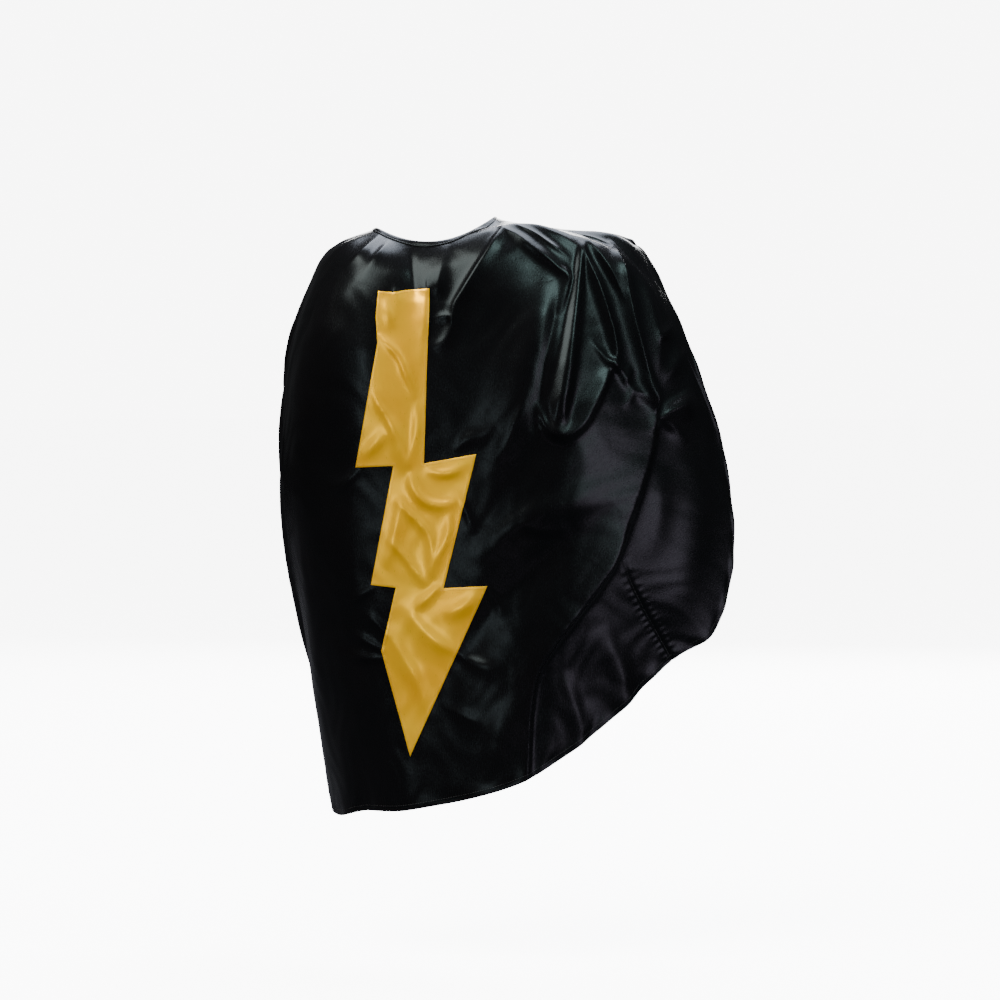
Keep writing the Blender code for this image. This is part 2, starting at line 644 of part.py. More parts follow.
def stitch_frame(name, angles, drops, layer, look):
    """A closed line of stitching round a strip, as one flat ring: its outer edge, less its inner edge."""
    width = STITCH_WIDTH
    inset_angle = math.degrees(width / NECK_RADIUS)
    columns = [angles[0], angles[0] + inset_angle, *np.linspace(angles[0], angles[1], 8)[1:-1],
               angles[1] - inset_angle, angles[1]]
    rows = [drops[0], drops[0] + width, drops[1] - width, drops[1]]
    place, normal = chest_grid(columns, rows)
    triangles = []
    size = len(rows)
    for i in range(len(columns) - 1):
        for j in range(size - 1):
            if j == 1 and 0 < i < len(columns) - 2:
                continue
            a, b, c, d = i * size + j, (i + 1) * size + j, (i + 1) * size + j + 1, i * size + j + 1
            triangles += [(a, b, c), (a, c, d)]
    return layer_solid(name, place.reshape(-1, 3), normal.reshape(-1, 3), triangles, layer, look)


def make_closure():
    """Two neck tabs that overlap in front, with hook strip under one and loop strip on the other."""
    over = np.linspace(*OVER_TAB, 15)
    under = np.linspace(*UNDER_TAB, 13)
    strip = np.linspace(*STRIP, 9)
    left_strip = np.linspace(STRIP[0] - 360.0, STRIP[1] - 360.0, 9)
    tab_drops = [TAB_TOP, (TAB_TOP + TAB_BOTTOM) / 2, TAB_BOTTOM]
    strip_drops = [STRIP_TOP, STRIP_BOTTOM]
    tab_block("closure_tab", over, tab_drops, over_tab_layer, "black_satin")
    tab_block("under_tab", under, tab_drops, UNDER_TAB_LAYER, "black_satin")
    tab_block("hook_strip", strip, strip_drops, HOOK_LAYER, "hook_nylon")
    tab_block("loop_strip", left_strip, strip_drops, LOOP_LAYER, "loop_nylon")
    inner = (STRIP[0] + 1.5, STRIP[1] - 1.5)
    drops = (STRIP_TOP + 1.5 * MM, STRIP_BOTTOM - 1.5 * MM)
    over_stitch = (OVER_TAB_LAYER[1] + GAP, OVER_TAB_LAYER[1] + GAP + 0.4 * MM)
    under_stitch = (UNDER_TAB_LAYER[0] - GAP - 0.4 * MM, UNDER_TAB_LAYER[0] - GAP)
    stitch_frame("hook_strip_stitching", inner, drops, over_stitch, "black_thread")
    stitch_frame("loop_strip_stitching", tuple(a - 360.0 for a in inner), drops, under_stitch, "black_thread")


def make_care_label():
    """A folded tape label with nothing printed on it, which hangs from its top edge."""
    mesh = bpy.data.meshes.new("care_label")
    made = bmesh.new()
    bmesh.ops.create_cube(made, size=1.0)
    bmesh.ops.scale(made, vec=(LABEL_WIDTH, LABEL_THICKNESS, LABEL_HEIGHT), verts=made.verts)
    bmesh.ops.translate(made, vec=(0.0, 0.0, -LABEL_HEIGHT / 2), verts=made.verts)
    made.to_mesh(mesh)
    made.free()
    obj = bpy.data.objects.new("care_label", mesh)
    obj.matrix_world = Matrix.Translation(LABEL_TOP) @ Matrix.Rotation(LABEL_TURN, 4, "Z")
    mesh.materials.append(material("label_tape"))
    bpy.context.scene.collection.objects.link(obj)


def main():
    clear_scene()
    place, normal, spans, rows = make_grid()
    grid = (place, normal)
    make_panels(grid, spans, rows)
    make_edge_topstitch(grid, spans, rows)
    make_neck(grid, spans, rows)
    make_bolt(grid, spans)
    make_closure()
    make_care_label()


main()
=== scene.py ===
# %% [markdown]
# # A child's superhero cape, in satin
# The cape is sewn from a black satin shell and a black lining, with a yellow satin lightning bolt
# on the back. It is shown as it is worn, with one hand on the hip and the other arm raised, so the
# cloth hangs in big soft folds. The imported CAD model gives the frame: every piece below takes its
# place, and most of the pieces stand in for a plain CAD layer. Lengths are in metres, +Z is up, and
# +Y is the way the wearer faces.

# %% Load the frame
import math
import bpy
import bmesh
import numpy as np
from mathutils import Matrix, Vector
from mathutils.bvhtree import BVHTree
from mathutils.geometry import delaunay_2d_cdt


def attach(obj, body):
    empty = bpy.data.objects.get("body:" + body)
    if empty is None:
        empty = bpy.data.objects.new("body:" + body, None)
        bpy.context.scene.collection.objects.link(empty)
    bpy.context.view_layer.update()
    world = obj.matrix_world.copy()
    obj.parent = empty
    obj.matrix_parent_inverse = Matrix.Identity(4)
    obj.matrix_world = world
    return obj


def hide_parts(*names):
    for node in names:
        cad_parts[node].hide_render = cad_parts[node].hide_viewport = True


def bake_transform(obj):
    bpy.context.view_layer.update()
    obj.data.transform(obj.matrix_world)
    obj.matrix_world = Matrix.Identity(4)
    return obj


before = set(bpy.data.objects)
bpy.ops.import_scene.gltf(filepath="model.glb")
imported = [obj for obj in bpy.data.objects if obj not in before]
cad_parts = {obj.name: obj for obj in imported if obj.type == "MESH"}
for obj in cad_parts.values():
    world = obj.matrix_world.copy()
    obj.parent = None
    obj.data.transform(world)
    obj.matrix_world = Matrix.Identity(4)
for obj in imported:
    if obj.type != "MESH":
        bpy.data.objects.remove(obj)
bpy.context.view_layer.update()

MM = 0.001

# %% [markdown]
# ## Camera, floor and light
# A long lens a few metres away keeps the cape's proportions true. The floor is pale, and the world
# behind it is as pale, so that the dark cloth stands out. Satin shows its folds only by what it
# mirrors, so the lights are large and soft, and the world lights the cloth much less than it shows
# to the camera.

# %% Camera
AIM = Vector((0.0745, -0.06, -0.3226))
FIELD = 1.18
DISTANCE = 5.0
ELEVATION = math.radians(2.0)
SENSOR_MM = 36.0
camera = bpy.data.objects.new("camera", bpy.data.cameras.new("camera"))
bpy.context.scene.collection.objects.link(camera)
camera.location = AIM + DISTANCE * Vector((0.0, -math.cos(ELEVATION), math.sin(ELEVATION)))
camera.rotation_euler = (AIM - camera.location).to_track_quat("-Z", "Y").to_euler()
camera.data.sensor_width = SENSOR_MM
camera.data.lens = SENSOR_MM * DISTANCE / FIELD
camera.data.clip_end = 100.0
bpy.context.scene.camera = camera
print("lens", round(camera.data.lens), "mm at", DISTANCE, "m")

# %% Floor
FLOOR_Z = -0.860
FLOOR_RADIUS = 40.0
FLOOR_GLOW = 7.7


def by_ray(tree, others, seen, output):
    """Show one shader to the camera and another to every other ray."""
    rays = tree.nodes.new("ShaderNodeLightPath")
    mix = tree.nodes.new("ShaderNodeMixShader")
    tree.links.new(rays.outputs["Is Camera Ray"], mix.inputs[0])
    tree.links.new(others.outputs[0], mix.inputs[1])
    tree.links.new(seen.outputs[0], mix.inputs[2])
    tree.links.new(mix.outputs[0], output.inputs["Surface"])


bpy.ops.object.select_all(action="DESELECT")
bpy.ops.mesh.primitive_circle_add(
    vertices=96, radius=FLOOR_RADIUS, fill_type="NGON", location=(0.0, 0.0, FLOOR_Z))
floor = bpy.context.object
floor.name = "floor"
paint = bpy.data.materials.new("floor_paint")
paint.use_nodes = True
tree = paint.node_tree
pale = tree.nodes["Principled BSDF"]
pale.inputs["Base Color"].default_value = (0.90, 0.90, 0.90, 1.0)
pale.inputs["Roughness"].default_value = 0.9
pale.inputs["Emission Color"].default_value = (1.0, 1.0, 1.0, 1.0)
pale.inputs["Emission Strength"].default_value = FLOOR_GLOW
dark = tree.nodes.new("ShaderNodeBsdfDiffuse")
dark.inputs["Color"].default_value = (0.05, 0.05, 0.055, 1.0)
by_ray(tree, dark, pale, tree.nodes["Material Output"])
floor.data.materials.append(paint)
print("the floor lies", round(-FLOOR_Z, 3), "m below the neck")

# %% World
WORLD_SEEN = 8.0
WORLD_FILL = 0.05
world = bpy.data.worlds.new("studio")
bpy.context.scene.world = world
world.use_nodes = True
tree = world.node_tree
tree.nodes.clear()
shown = tree.nodes.new("ShaderNodeBackground")
shown.inputs["Color"].default_value = (1.0, 1.0, 1.0, 1.0)
shown.inputs["Strength"].default_value = WORLD_SEEN
fill = tree.nodes.new("ShaderNodeBackground")
fill.inputs["Color"].default_value = (0.90, 0.95, 1.0, 1.0)
fill.inputs["Strength"].default_value = WORLD_FILL
by_ray(tree, fill, shown, tree.nodes.new("ShaderNodeOutputWorld"))
print("the world shows at", WORLD_SEEN, "and lights at", WORLD_FILL)

# %% Lights: name, place, width and height, watts, colour
LIT_PLACE = Vector((0.08, 0.0, -0.30))
LIGHTS = [
    ("overhead", (0.8, 1.7, 3.0), (3.2, 2.2), 330.0, (0.84, 0.88, 1.0)),
    ("key", (-2.3, -2.4, 4.1), (3.8, 3.8), 690.0, (1.0, 0.98, 0.93)),
    ("side", (3.0, -1.4, 2.6), (0.8, 1.6), 95.0, (0.78, 1.0, 0.96)),
    ("strip", (3.4, -1.6, 0.9), (0.35, 1.8), 20.0, (0.85, 1.0, 0.98)),
    ("low_side", (4.2, -1.2, -0.1), (0.8, 1.3), 24.0, (1.0, 0.78, 0.98)),
    ("bounce", (1.2, -4.2, -1.6), (3.6, 1.8), 55.0, (1.0, 0.70, 0.88)),
    ("glow", (-2.0, -4.6, 0.4), (0.6, 1.3), 22.0, (0.90, 0.96, 1.0)),
    ("front", (0.8, 4.6, 1.2), (3.0, 2.4), 300.0, (1.0, 1.0, 1.0)),
]
for name, spot, size, power, colour in LIGHTS:
    light = bpy.data.lights.new(name, "AREA")
    light.shape = "RECTANGLE"
    light.size, light.size_y = size
    light.energy = power
    light.color = colour
    obj = bpy.data.objects.new(name, light)
    bpy.context.scene.collection.objects.link(obj)
    obj.location = spot
    obj.rotation_euler = (LIT_PLACE - obj.location).to_track_quat("-Z", "Y").to_euler()
print(len(LIGHTS), "lights")

# %% [markdown]
# ## The cutting pattern and the drape
# A cape is cut flat: a shape round a neck hole, straight down the back, swept up at both sides. Its
# points are given by an angle round the neck, 0 at the centre of the back, and a distance from the
# neck's centre. The drape then says where each point hangs on the wearer: smooth lines run from the
# neck to the edge, and cloth between them is blended. A cloth simulation could drape the pattern by
# itself, but it wouldn't find the wearer's own pose and folds, so the large shape is laid out in
# listed lines, as a dressmaker pins cloth on a stand.

# %% Sizes of the flat pattern
NECK_RADIUS = 0.0625
SEAM_NECK_ANGLE = 85.0
SEAM_HEM_ANGLE = 27.0
FRONT_ANGLE = 150.0
OUTLINE = [
    (0.0, 0.742), (10.0, 0.747), (20.4, 0.768), (27.3, 0.752), (32.0, 0.684), (36.0, 0.572),
    (42.0, 0.464),
    (50.0, 0.376), (60.0, 0.311), (75.0, 0.258), (90.0, 0.235), (105.0, 0.200), (120.0, 0.165),
    (140.0, 0.128),
    (160.0, 0.105), (180.0, 0.095), (215.0, 0.095),
]

# %% Smooth curves
def distances_along(points):
    """Distance along a line of places from its start."""
    return np.concatenate([[0.0], np.cumsum(np.linalg.norm(np.diff(points, axis=0), axis=1))])


def smooth_slopes(x, y):
    """Slopes of a smooth curve through the rows of y, which lie at x."""
    step = np.diff(x).reshape(-1, *[1] * (y.ndim - 1))
    rise = np.diff(y, axis=0) / step
    middle = (rise[:-1] * step[1:] + rise[1:] * step[:-1]) / (step[1:] + step[:-1])
    return np.concatenate([rise[:1], middle, rise[-1:]])


def smooth_curve(x, y, at, own=False):
    """The smooth curve through the rows of y, read at each value of at.

    With own, each value has its own column."""
    x, y, at = np.asarray(x, float), np.asarray(y, float), np.asarray(at, float)
    slope = smooth_slopes(x, y)
    left = np.clip(np.searchsorted(x, at, side="right") - 1, 0, len(x) - 2)
    pick = (left, np.arange(len(at))) if own else left
    after = (left + 1, np.arange(len(at))) if own else left + 1
    shape = (-1, *[1] * (y[pick].ndim - 1))
    step = (x[left + 1] - x[left]).reshape(shape)
    s = np.clip((at - x[left]).reshape(shape) / step, 0.0, 1.0)
    start = (2 * s**3 - 3 * s**2 + 1) * y[pick] + (s**3 - 2 * s**2 + s) * step * slope[pick]
    return start + (3 * s**2 - 2 * s**3) * y[after] + (s**3 - s**2) * step * slope[after]


def outer_distance(angle):
    """Distance from the neck's centre to the pattern's edge."""
    angles, distances = zip(*OUTLINE)
    return smooth_curve(angles, distances, np.abs(angle))


def pattern_point(angle, distance):
    """A point of the flat pattern: across to the wearer's right, and down."""
    turn = np.radians(angle)
    return np.stack([distance * np.sin(turn), distance * np.cos(turn)], axis=-1)


# %% The neck and the lines that the cloth follows
NECK_TURN = -18.0
CHEST_SLOPE = math.radians(55.0)
DRAPE_LINES = [
    (-215.0, []),
    (-180.0, []),
    (-150.0, []),
    (-125.0, [(-0.095, 0.088, -0.083)]),
    (-105.0, [(-0.102, 0.060, -0.037), (-0.140, 0.086, -0.097)]),
    (-90.0, [(-0.116, 0.036, -0.026), (-0.158, 0.080, -0.112)]),
    (-75.0, [(-0.124, 0.014, -0.023), (-0.156, 0.045, -0.078), (-0.172, 0.080, -0.135)]),
    (-60.0, [(-0.122, -0.012, -0.023), (-0.156, 0.015, -0.078), (-0.181, 0.070, -0.185)]),
    (-50.0, [(-0.117, -0.030, -0.026), (-0.156, -0.010, -0.085), (-0.183, 0.040, -0.185),
             (-0.184, 0.080, -0.250)]),
    (-42.0, [(-0.110, -0.045, -0.030), (-0.152, -0.035, -0.090), (-0.184, 0.015, -0.200),
             (-0.178, 0.080, -0.355)]),
    (-36.0, [(-0.103, -0.058, -0.034), (-0.146, -0.052, -0.096), (-0.182, -0.005, -0.220),
             (-0.171, 0.070, -0.430)]),
    (-32.0, [(-0.099, -0.064, -0.036), (-0.142, -0.062, -0.100), (-0.181, -0.018, -0.240),
             (-0.168, 0.045, -0.440),
             (-0.138, 0.085, -0.545)]),
    (-27.3, [(-0.092, -0.072, -0.039), (-0.136, -0.075, -0.107), (-0.177, -0.035, -0.260),
             (-0.164, 0.020, -0.460),
             (-0.132, 0.075, -0.630)]),
    (-20.4, [(-0.081, -0.082, -0.045), (-0.119, -0.092, -0.117), (-0.161, -0.068, -0.280),
             (-0.151, -0.045, -0.480),
             (-0.128, -0.005, -0.690)]),
    (-10.0, [(-0.057, -0.088, -0.053), (-0.080, -0.106, -0.128), (-0.100, -0.107, -0.300),
             (-0.092, -0.105, -0.500),
             (-0.080, -0.092, -0.686)]),
    (0.0, [(-0.025, -0.087, -0.060), (-0.025, -0.108, -0.140), (-0.025, -0.120, -0.310),
           (-0.022, -0.125, -0.500),
           (-0.020, -0.130, -0.680)]),
    (10.0, [(-0.002, -0.088, -0.058), (0.020, -0.110, -0.140), (0.045, -0.125, -0.300),
            (0.075, -0.145, -0.480),
            (0.097, -0.155, -0.648)]),
    (20.4, [(0.030, -0.086, -0.043), (0.078, -0.108, -0.120), (0.112, -0.122, -0.250),
            (0.142, -0.128, -0.410),
            (0.200, -0.088, -0.583)]),
    (27.3, [(0.045, -0.080, -0.030), (0.105, -0.097, -0.095), (0.160, -0.102, -0.210),
            (0.196, -0.092, -0.375),
            (0.283, -0.020, -0.512)]),
    (32.0, [(0.060, -0.072, -0.019), (0.120, -0.083, -0.072), (0.185, -0.078, -0.170),
            (0.250, -0.045, -0.320),
            (0.334, 0.016, -0.480)]),
    (36.0, [(0.070, -0.062, -0.009), (0.128, -0.070, -0.050), (0.200, -0.055, -0.130),
            (0.276, -0.010, -0.250),
            (0.355, 0.042, -0.410)]),
    (42.0, [(0.080, -0.052, -0.001), (0.140, -0.055, -0.030), (0.215, -0.030, -0.085),
            (0.290, 0.020, -0.172),
            (0.350, 0.058, -0.290)]),
    (50.0, [(0.090, -0.044, 0.004), (0.155, -0.035, -0.012), (0.225, 0.000, -0.045),
            (0.316, 0.045, -0.175)]),
    (60.0, [(0.098, -0.030, 0.003), (0.165, -0.005, -0.008), (0.225, 0.022, -0.020),
            (0.266, 0.050, -0.058)]),
    (75.0, [(0.105, -0.010, 0.003), (0.165, 0.018, -0.006), (0.235, 0.050, -0.018)]),
    (90.0, [(0.105, 0.010, 0.003), (0.155, 0.042, -0.007), (0.205, 0.075, -0.025)]),
    (105.0, [(0.115, 0.040, -0.002), (0.165, 0.085, -0.030)]),
    (125.0, [(0.115, 0.078, -0.038)]),
    (150.0, []),
    (180.0, []),
    (215.0, []),
]


def neck_ring(angle):
    """Where the neck edge lies on the wearer."""
    turn = np.radians(np.asarray(angle, float) + NECK_TURN)
    back = np.maximum(np.cos(turn), 0.0) ** 2
    front = np.minimum(np.cos(turn), 0.0) ** 2
    z = 0.0065 * np.sin(turn) + 0.006 * np.sin(turn) ** 2 - 0.018 * back - 0.035 * front
    return np.stack([0.070 * np.sin(turn) - 0.002, -0.056 * np.cos(turn), z], axis=-1)


def drape_line(angle, points, share):
    """Places along one line, at shares of its length from the neck, 0, to the edge, 1."""
    start = neck_ring(angle)
    if not points:
        turn = math.radians(angle + NECK_TURN)
        length = float(outer_distance([angle])[0]) - NECK_RADIUS
        down = np.array([math.sin(turn), -math.cos(turn), 0.0]) * math.cos(CHEST_SLOPE)
        down[2] -= math.sin(CHEST_SLOPE)
        return start + share[:, None] * length * down
    line = np.vstack([start, points])
    along = distances_along(line)
    return smooth_curve(along / along[-1], line, share)


def drape(angle, distance):
    """The place on the wearer of each point of the pattern."""
    outer = outer_distance(angle)
    share = np.clip((distance - NECK_RADIUS) / (outer - NECK_RADIUS), 0.0, 1.0)
    lines = np.stack([drape_line(a, points, share) for a, points in DRAPE_LINES])
    return smooth_curve([a for a, _ in DRAPE_LINES], lines, angle, own=True)


hem_angle = np.array([SEAM_HEM_ANGLE])
hem_corner = pattern_point(hem_angle, outer_distance(hem_angle))[0]
print("the back panel is cut", round(2.0 * float(hem_corner[0]), 3), "m wide at the hem")

# %% [markdown]
# ## The draped surface
# The three panels share one grid. A column runs straight down the pattern from the neck to the
# outer edge, and the panels' seams lie on columns, so a panel is a run of columns. Columns crowd
# together at the seams and rows at both ends, where the cloth has its finest detail: puckers,
# turned edges and stitching.

# %% The grid's columns and rows
BACK_COLUMNS = 300
SIDE_COLUMNS = 150
ROWS = 290


def crowd_ends(count, power):
    """Numbers from 0 to 1 that lie closer together at both ends."""
    t = np.linspace(-1.0, 1.0, count + 1)
    return 0.5 + 0.5 * np.sign(t) * (1.0 - (1.0 - np.abs(t)) ** power)


def even_edge_angles(share):
    """Angles at shares of the side panel's outer edge, from the seam to the front."""
    angle = np.linspace(SEAM_HEM_ANGLE, FRONT_ANGLE, 900)
    along = distances_along(pattern_point(angle, outer_distance(angle)))
    return np.interp(share * along[-1], along, angle)


side_share = crowd_ends(SIDE_COLUMNS, 1.25)
back_share = crowd_ends(BACK_COLUMNS, 1.2) * 2.0 - 1.0
side_neck = SEAM_NECK_ANGLE + side_share * (FRONT_ANGLE - SEAM_NECK_ANGLE)
side_edge = even_edge_angles(side_share)
neck_angle = np.concatenate([-side_neck[::-1], SEAM_NECK_ANGLE * back_share[1:-1], side_neck])
edge_angle = np.concatenate([-side_edge[::-1], SEAM_HEM_ANGLE * back_share[1:-1], side_edge])
LEFT_SEAM, RIGHT_SEAM = SIDE_COLUMNS, SIDE_COLUMNS + BACK_COLUMNS
LAST_COLUMN = RIGHT_SEAM + SIDE_COLUMNS
row_share = 0.75 * crowd_ends(ROWS, 1.3) + 0.25 * crowd_ends(ROWS, 1.3) ** 1.6
flat_start = pattern_point(neck_angle, NECK_RADIUS)
flat_end = pattern_point(edge_angle, outer_distance(edge_angle))
flat = flat_start[:, None] + row_share[None, :, None] * (flat_end - flat_start)[:, None]
near = neck_angle[:, None] + (edge_angle - neck_angle)[:, None] * row_share
angle = np.degrees(np.arctan2(flat[..., 0], flat[..., 1]))
angle += 360.0 * np.round((near - angle) / 360.0)
place = drape(angle.ravel(), np.linalg.norm(flat, axis=-1).ravel()).reshape(*flat.shape[:2], 3)
print("grid:", place.shape[0], "columns by", place.shape[1], "rows")


# %% Normals of a grid
def grid_normals(places):
    """Unit normals of a grid of places, away from the wearer."""
    across = np.gradient(places, axis=0)
    down = np.gradient(places, axis=1)
    normals = np.cross(down, across)
    return normals / np.linalg.norm(normals, axis=-1, keepdims=True)


normal = grid_normals(place)
print("the back faces", np.round(normal[len(normal) // 2, ROWS // 2], 2))

# %% [markdown]
# ## Folds
# Satin falls in long ridges with a crisp crest and softer sides. Each fold is a path drawn on the
# back as it is seen from behind, in millimetres: across, up, and then the fold's height, its width
# on the path's right and its width on the path's left, for someone walking along it. A fold starts
# narrow where the cloth is pulled, and widens as it dies away. A side only a few millimetres wide
# makes the cloth drop sharply, as where one layer laps over the next.

# %% How one fold lifts the cloth
def ease(value, low, high):
    """0 below low, 1 above high, and a smooth rise between."""
    t = np.clip((value - low) / (high - low), 0.0, 1.0)
    return t * t * (3.0 - 2.0 * t)


def fold(where, crest, path, pieces=36):
    """How far one fold lifts each place. crest is 2 for a round top and near 1 for a creased one."""
    points = np.array(path, float) * MM
    along = distances_along(points[:, :2])
    line = smooth_curve(along, points, np.linspace(0.0, along[-1], pieces))
    reach = 3.2 * points[:, 3:].max()
    low, high = line[:, :2].min(0) - reach, line[:, :2].max(0) + reach
    inside = np.nonzero(np.all((where > low) & (where < high), axis=1))[0]
    spots = where[inside]
    best = np.full(len(spots), 9.0)
    found = np.zeros((len(spots), 4))
    for a, b in zip(line[:-1], line[1:]):
        step = (b - a)[:2]
        t = np.clip((spots - a[:2]) @ step / (step @ step), 0.0, 1.0)
        off = spots - a[:2] - t[:, None] * step
        away = np.linalg.norm(off, axis=1)
        closer = away < best
        best[closer] = away[closer]
        found[closer, 0] = np.sign(step[0] * off[closer, 1] - step[1] * off[closer, 0])
        found[closer, 1:] = a[2:] + t[closer, None] * (b - a)[2:]
    width = np.where(found[:, 0] > 0, found[:, 3], found[:, 2])
    lifted = np.zeros(len(where))
    lifted[inside] = found[:, 1] * np.exp(-((best / np.maximum(width, MM)) ** crest))
    return lifted


# %% The folds at the shoulders
SHOULDER_FOLDS = [
    (1.5, [(-64, -6, 0, 5, 6), (-78, -20, 2.6, 5, 6), (-94, -36, 2.4, 7, 7), (-110, -54, 0, 12, 10)]),
    (1.5, [(-54, -16, 0, 4, 5), (-66, -30, 2.0, 4, 5), (-80, -50, 1.2, 7, 7), (-88, -70, 0, 10, 10)]),
    (1.6, [(-70, -2, 0, 6, 7), (-96, -15, 2.4, 7, 7), (-120, -30, 2.0, 9, 9), (-140, -50, 0, 13, 13)]),
    (1.6, [(12, -20, 0, 20, 6), (7, -44, 3.6, 30, 8), (2, -70, 4, 24, 8), (0, -86, 0, 20, 8)]),
    (1.6, [(-32, -26, 0, 7, 5), (-28, -50, -2.6, 9, 7), (-25, -74, -2, 9, 7), (-24, -90, 0, 9, 9)]),
    (1.4, [(82, 2, 0, 4, 4), (75, -7, 3, 4, 6), (54, -39, 4.5, 4.5, 9), (32, -75, 5.5, 5, 11),
           (21, -94, 5, 5, 12), (17, -117, 4, 5, 12), (10, -134, 2.6, 5, 11), (-4, -145, 0, 5, 10)]),
    (1.4, [(22, -112, 0, 4, 4), (12, -106, 2.0, 4, 5), (-4, -111, 0, 6, 8)]),
    (1.4, [(72, 1, 0, 4, 5), (92, -11, 4, 4, 11), (112, -28, 6.5, 4, 15), (132, -43, 6.5, 4.5, 15),
           (150, -58, 3, 5, 12), (158, -66, 0, 6, 8)]),
    (1.3, [(86, 6, 0, 3, 4), (112, -8, 2.4, 3, 5), (138, -26, 2.8, 4, 6), (160, -40, 0, 5, 6)]),
    (1.6, [(96, 10, 0, 6, 7), (128, -4, 3.2, 7, 9), (160, -20, 2.4, 8, 10), (182, -40, 0, 10, 12)]),
    (1.4, [(144, -46, 0, 8, 4), (154, -60, 4.0, 10, 4), (151, -78, 3.6, 12, 5), (141, -104, 0, 14, 7)]),
    (1.4, [(168, -6, 0, 6, 14), (186, -28, 5, 5, 22), (203, -54, 6, 4, 22), (216, -78, 2, 4, 14),
           (222, -92, 0, 4, 8)]),
    (1.3, [(206, -14, 0, 4, 3), (212, -34, 3.4, 6, 3), (220, -58, 3, 6, 3), (224, -72, 0, 5, 4)]),
]

# %% The swag under the raised arm
SWAG_FOLDS = [
    (2.3, [(170, -16, 0, 4, 5), (168, -40, 4, 4, 5), (164, -74, 6, 5, 7), (157, -120, 8, 6, 9),
           (150, -172, 10, 9, 10), (142, -220, 9, 9, 11), (140, -250, 0, 7, 9)]),
    (1.8, [(146, -52, 0, 10, 5), (136, -116, -2.5, 12, 5), (124, -175, -4, 14, 6),
           (118, -232, -2, 12, 6)]),
    (1.6, [(119, -206, 0, 5, 6), (122, -224, 4, 5, 7), (133, -241, 6, 6, 9), (147, -246, 6, 7, 11),
           (163, -238, 6, 7, 12), (184, -208, 6, 6, 12), (200, -176, 4, 5, 9), (208, -156, 0, 4, 8)]),
    (1.3, [(170, -18, 0, 3, 4), (178, -42, 4, 4, 5), (188, -66, 6, 5, 5), (198, -98, 7, 5, 5),
           (207, -132, 7, 5, 5), (210, -154, 5, 5, 5), (206, -172, 0, 5, 5)]),
    (1.3, [(212, -168, 2.5, 4, 4), (202, -160, 3, 4, 4), (178, -132, 0, 5, 5)]),
    (1.3, [(206, -160, 2, 3, 4), (217, -172, 4, 4, 5), (224, -186, 3, 4, 5), (240, -199, 2.4, 5, 5),
           (252, -208, 0, 6, 6)]),
    (1.3, [(222, -164, 0, 3, 3), (225, -174, 2.6, 4, 4), (221, -186, 0, 4, 5)]),
    (1.4, [(230, -188, 0, 4, 4), (228, -200, 2.2, 4, 5), (222, -216, 0, 6, 8)]),
]

# %% The fold that falls from the forearm, laps over the side panel, and runs on down to the hem
LONG_FOLDS = [
    (1.3, [(210, -30, 0, 8, 4), (221, -64, 6, 9, 4), (231, -110, 8, 9, 4), (242, -153, 9, 9, 4),
           (252, -188, 8, 9, 4), (257, -200, 7, 10, 4), (256, -222, 5, 14, 3), (254, -254, 6, 24, 3),
           (240, -303, 7, 34, 3.5), (224, -347, 7, 36, 4), (203, -399, 7, 34, 4), (186, -424, 4, 30, 5),
           (172, -448, 0, 26, 7)]),
    (1.3, [(242, -172, 0, 9, 4), (250, -192, 4, 9, 4), (257, -206, 5, 9, 3), (256, -220, 0, 9, 4)]),
    (1.4, [(220, -352, 0, 14, 4), (203, -399, 4, 18, 4), (186, -422, 6, 20, 4), (168, -446, 8, 22, 4),
           (138, -483, 9, 24, 4.5), (116, -520, 9, 24, 4.5), (108, -564, 8.5, 22, 4.5),
           (105, -620, 8, 20, 5),
           (98, -700, 7, 20, 6)]),
    (2.0, [(138, -46, 0, 14, 12), (126, -104, 4, 24, 16), (112, -163, 6, 30, 20), (93, -222, 6, 32, 22),
           (76, -270, 4, 30, 22), (50, -345, 0, 28, 22)]),
    (1.5, [(107, -190, 0, 4, 7), (92, -230, 2.4, 4, 8), (82, -258, 1.4, 5, 8), (66, -280, 0, 6, 9)]),
    (2.0, [(-10, -600, 0, 20, 20), (30, -500, -4, 24, 24), (85, -430, -6, 26, 26),
           (150, -372, -5, 24, 24),
           (205, -325, 0, 18, 18)]),
    (2.0, [(44, -395, 0, 12, 12), (92, -350, 3.4, 14, 16), (140, -330, 3.4, 15, 16),
           (200, -312, 0, 16, 14)]),
    (1.8, [(96, -345, 0, 6, 6), (120, -356, 2.0, 6, 8), (160, -352, 0, 8, 10)]),
    (2.0, [(60, -650, 0, 16, 16), (76, -590, 3, 20, 16), (96, -540, 0, 20, 14)]),
]

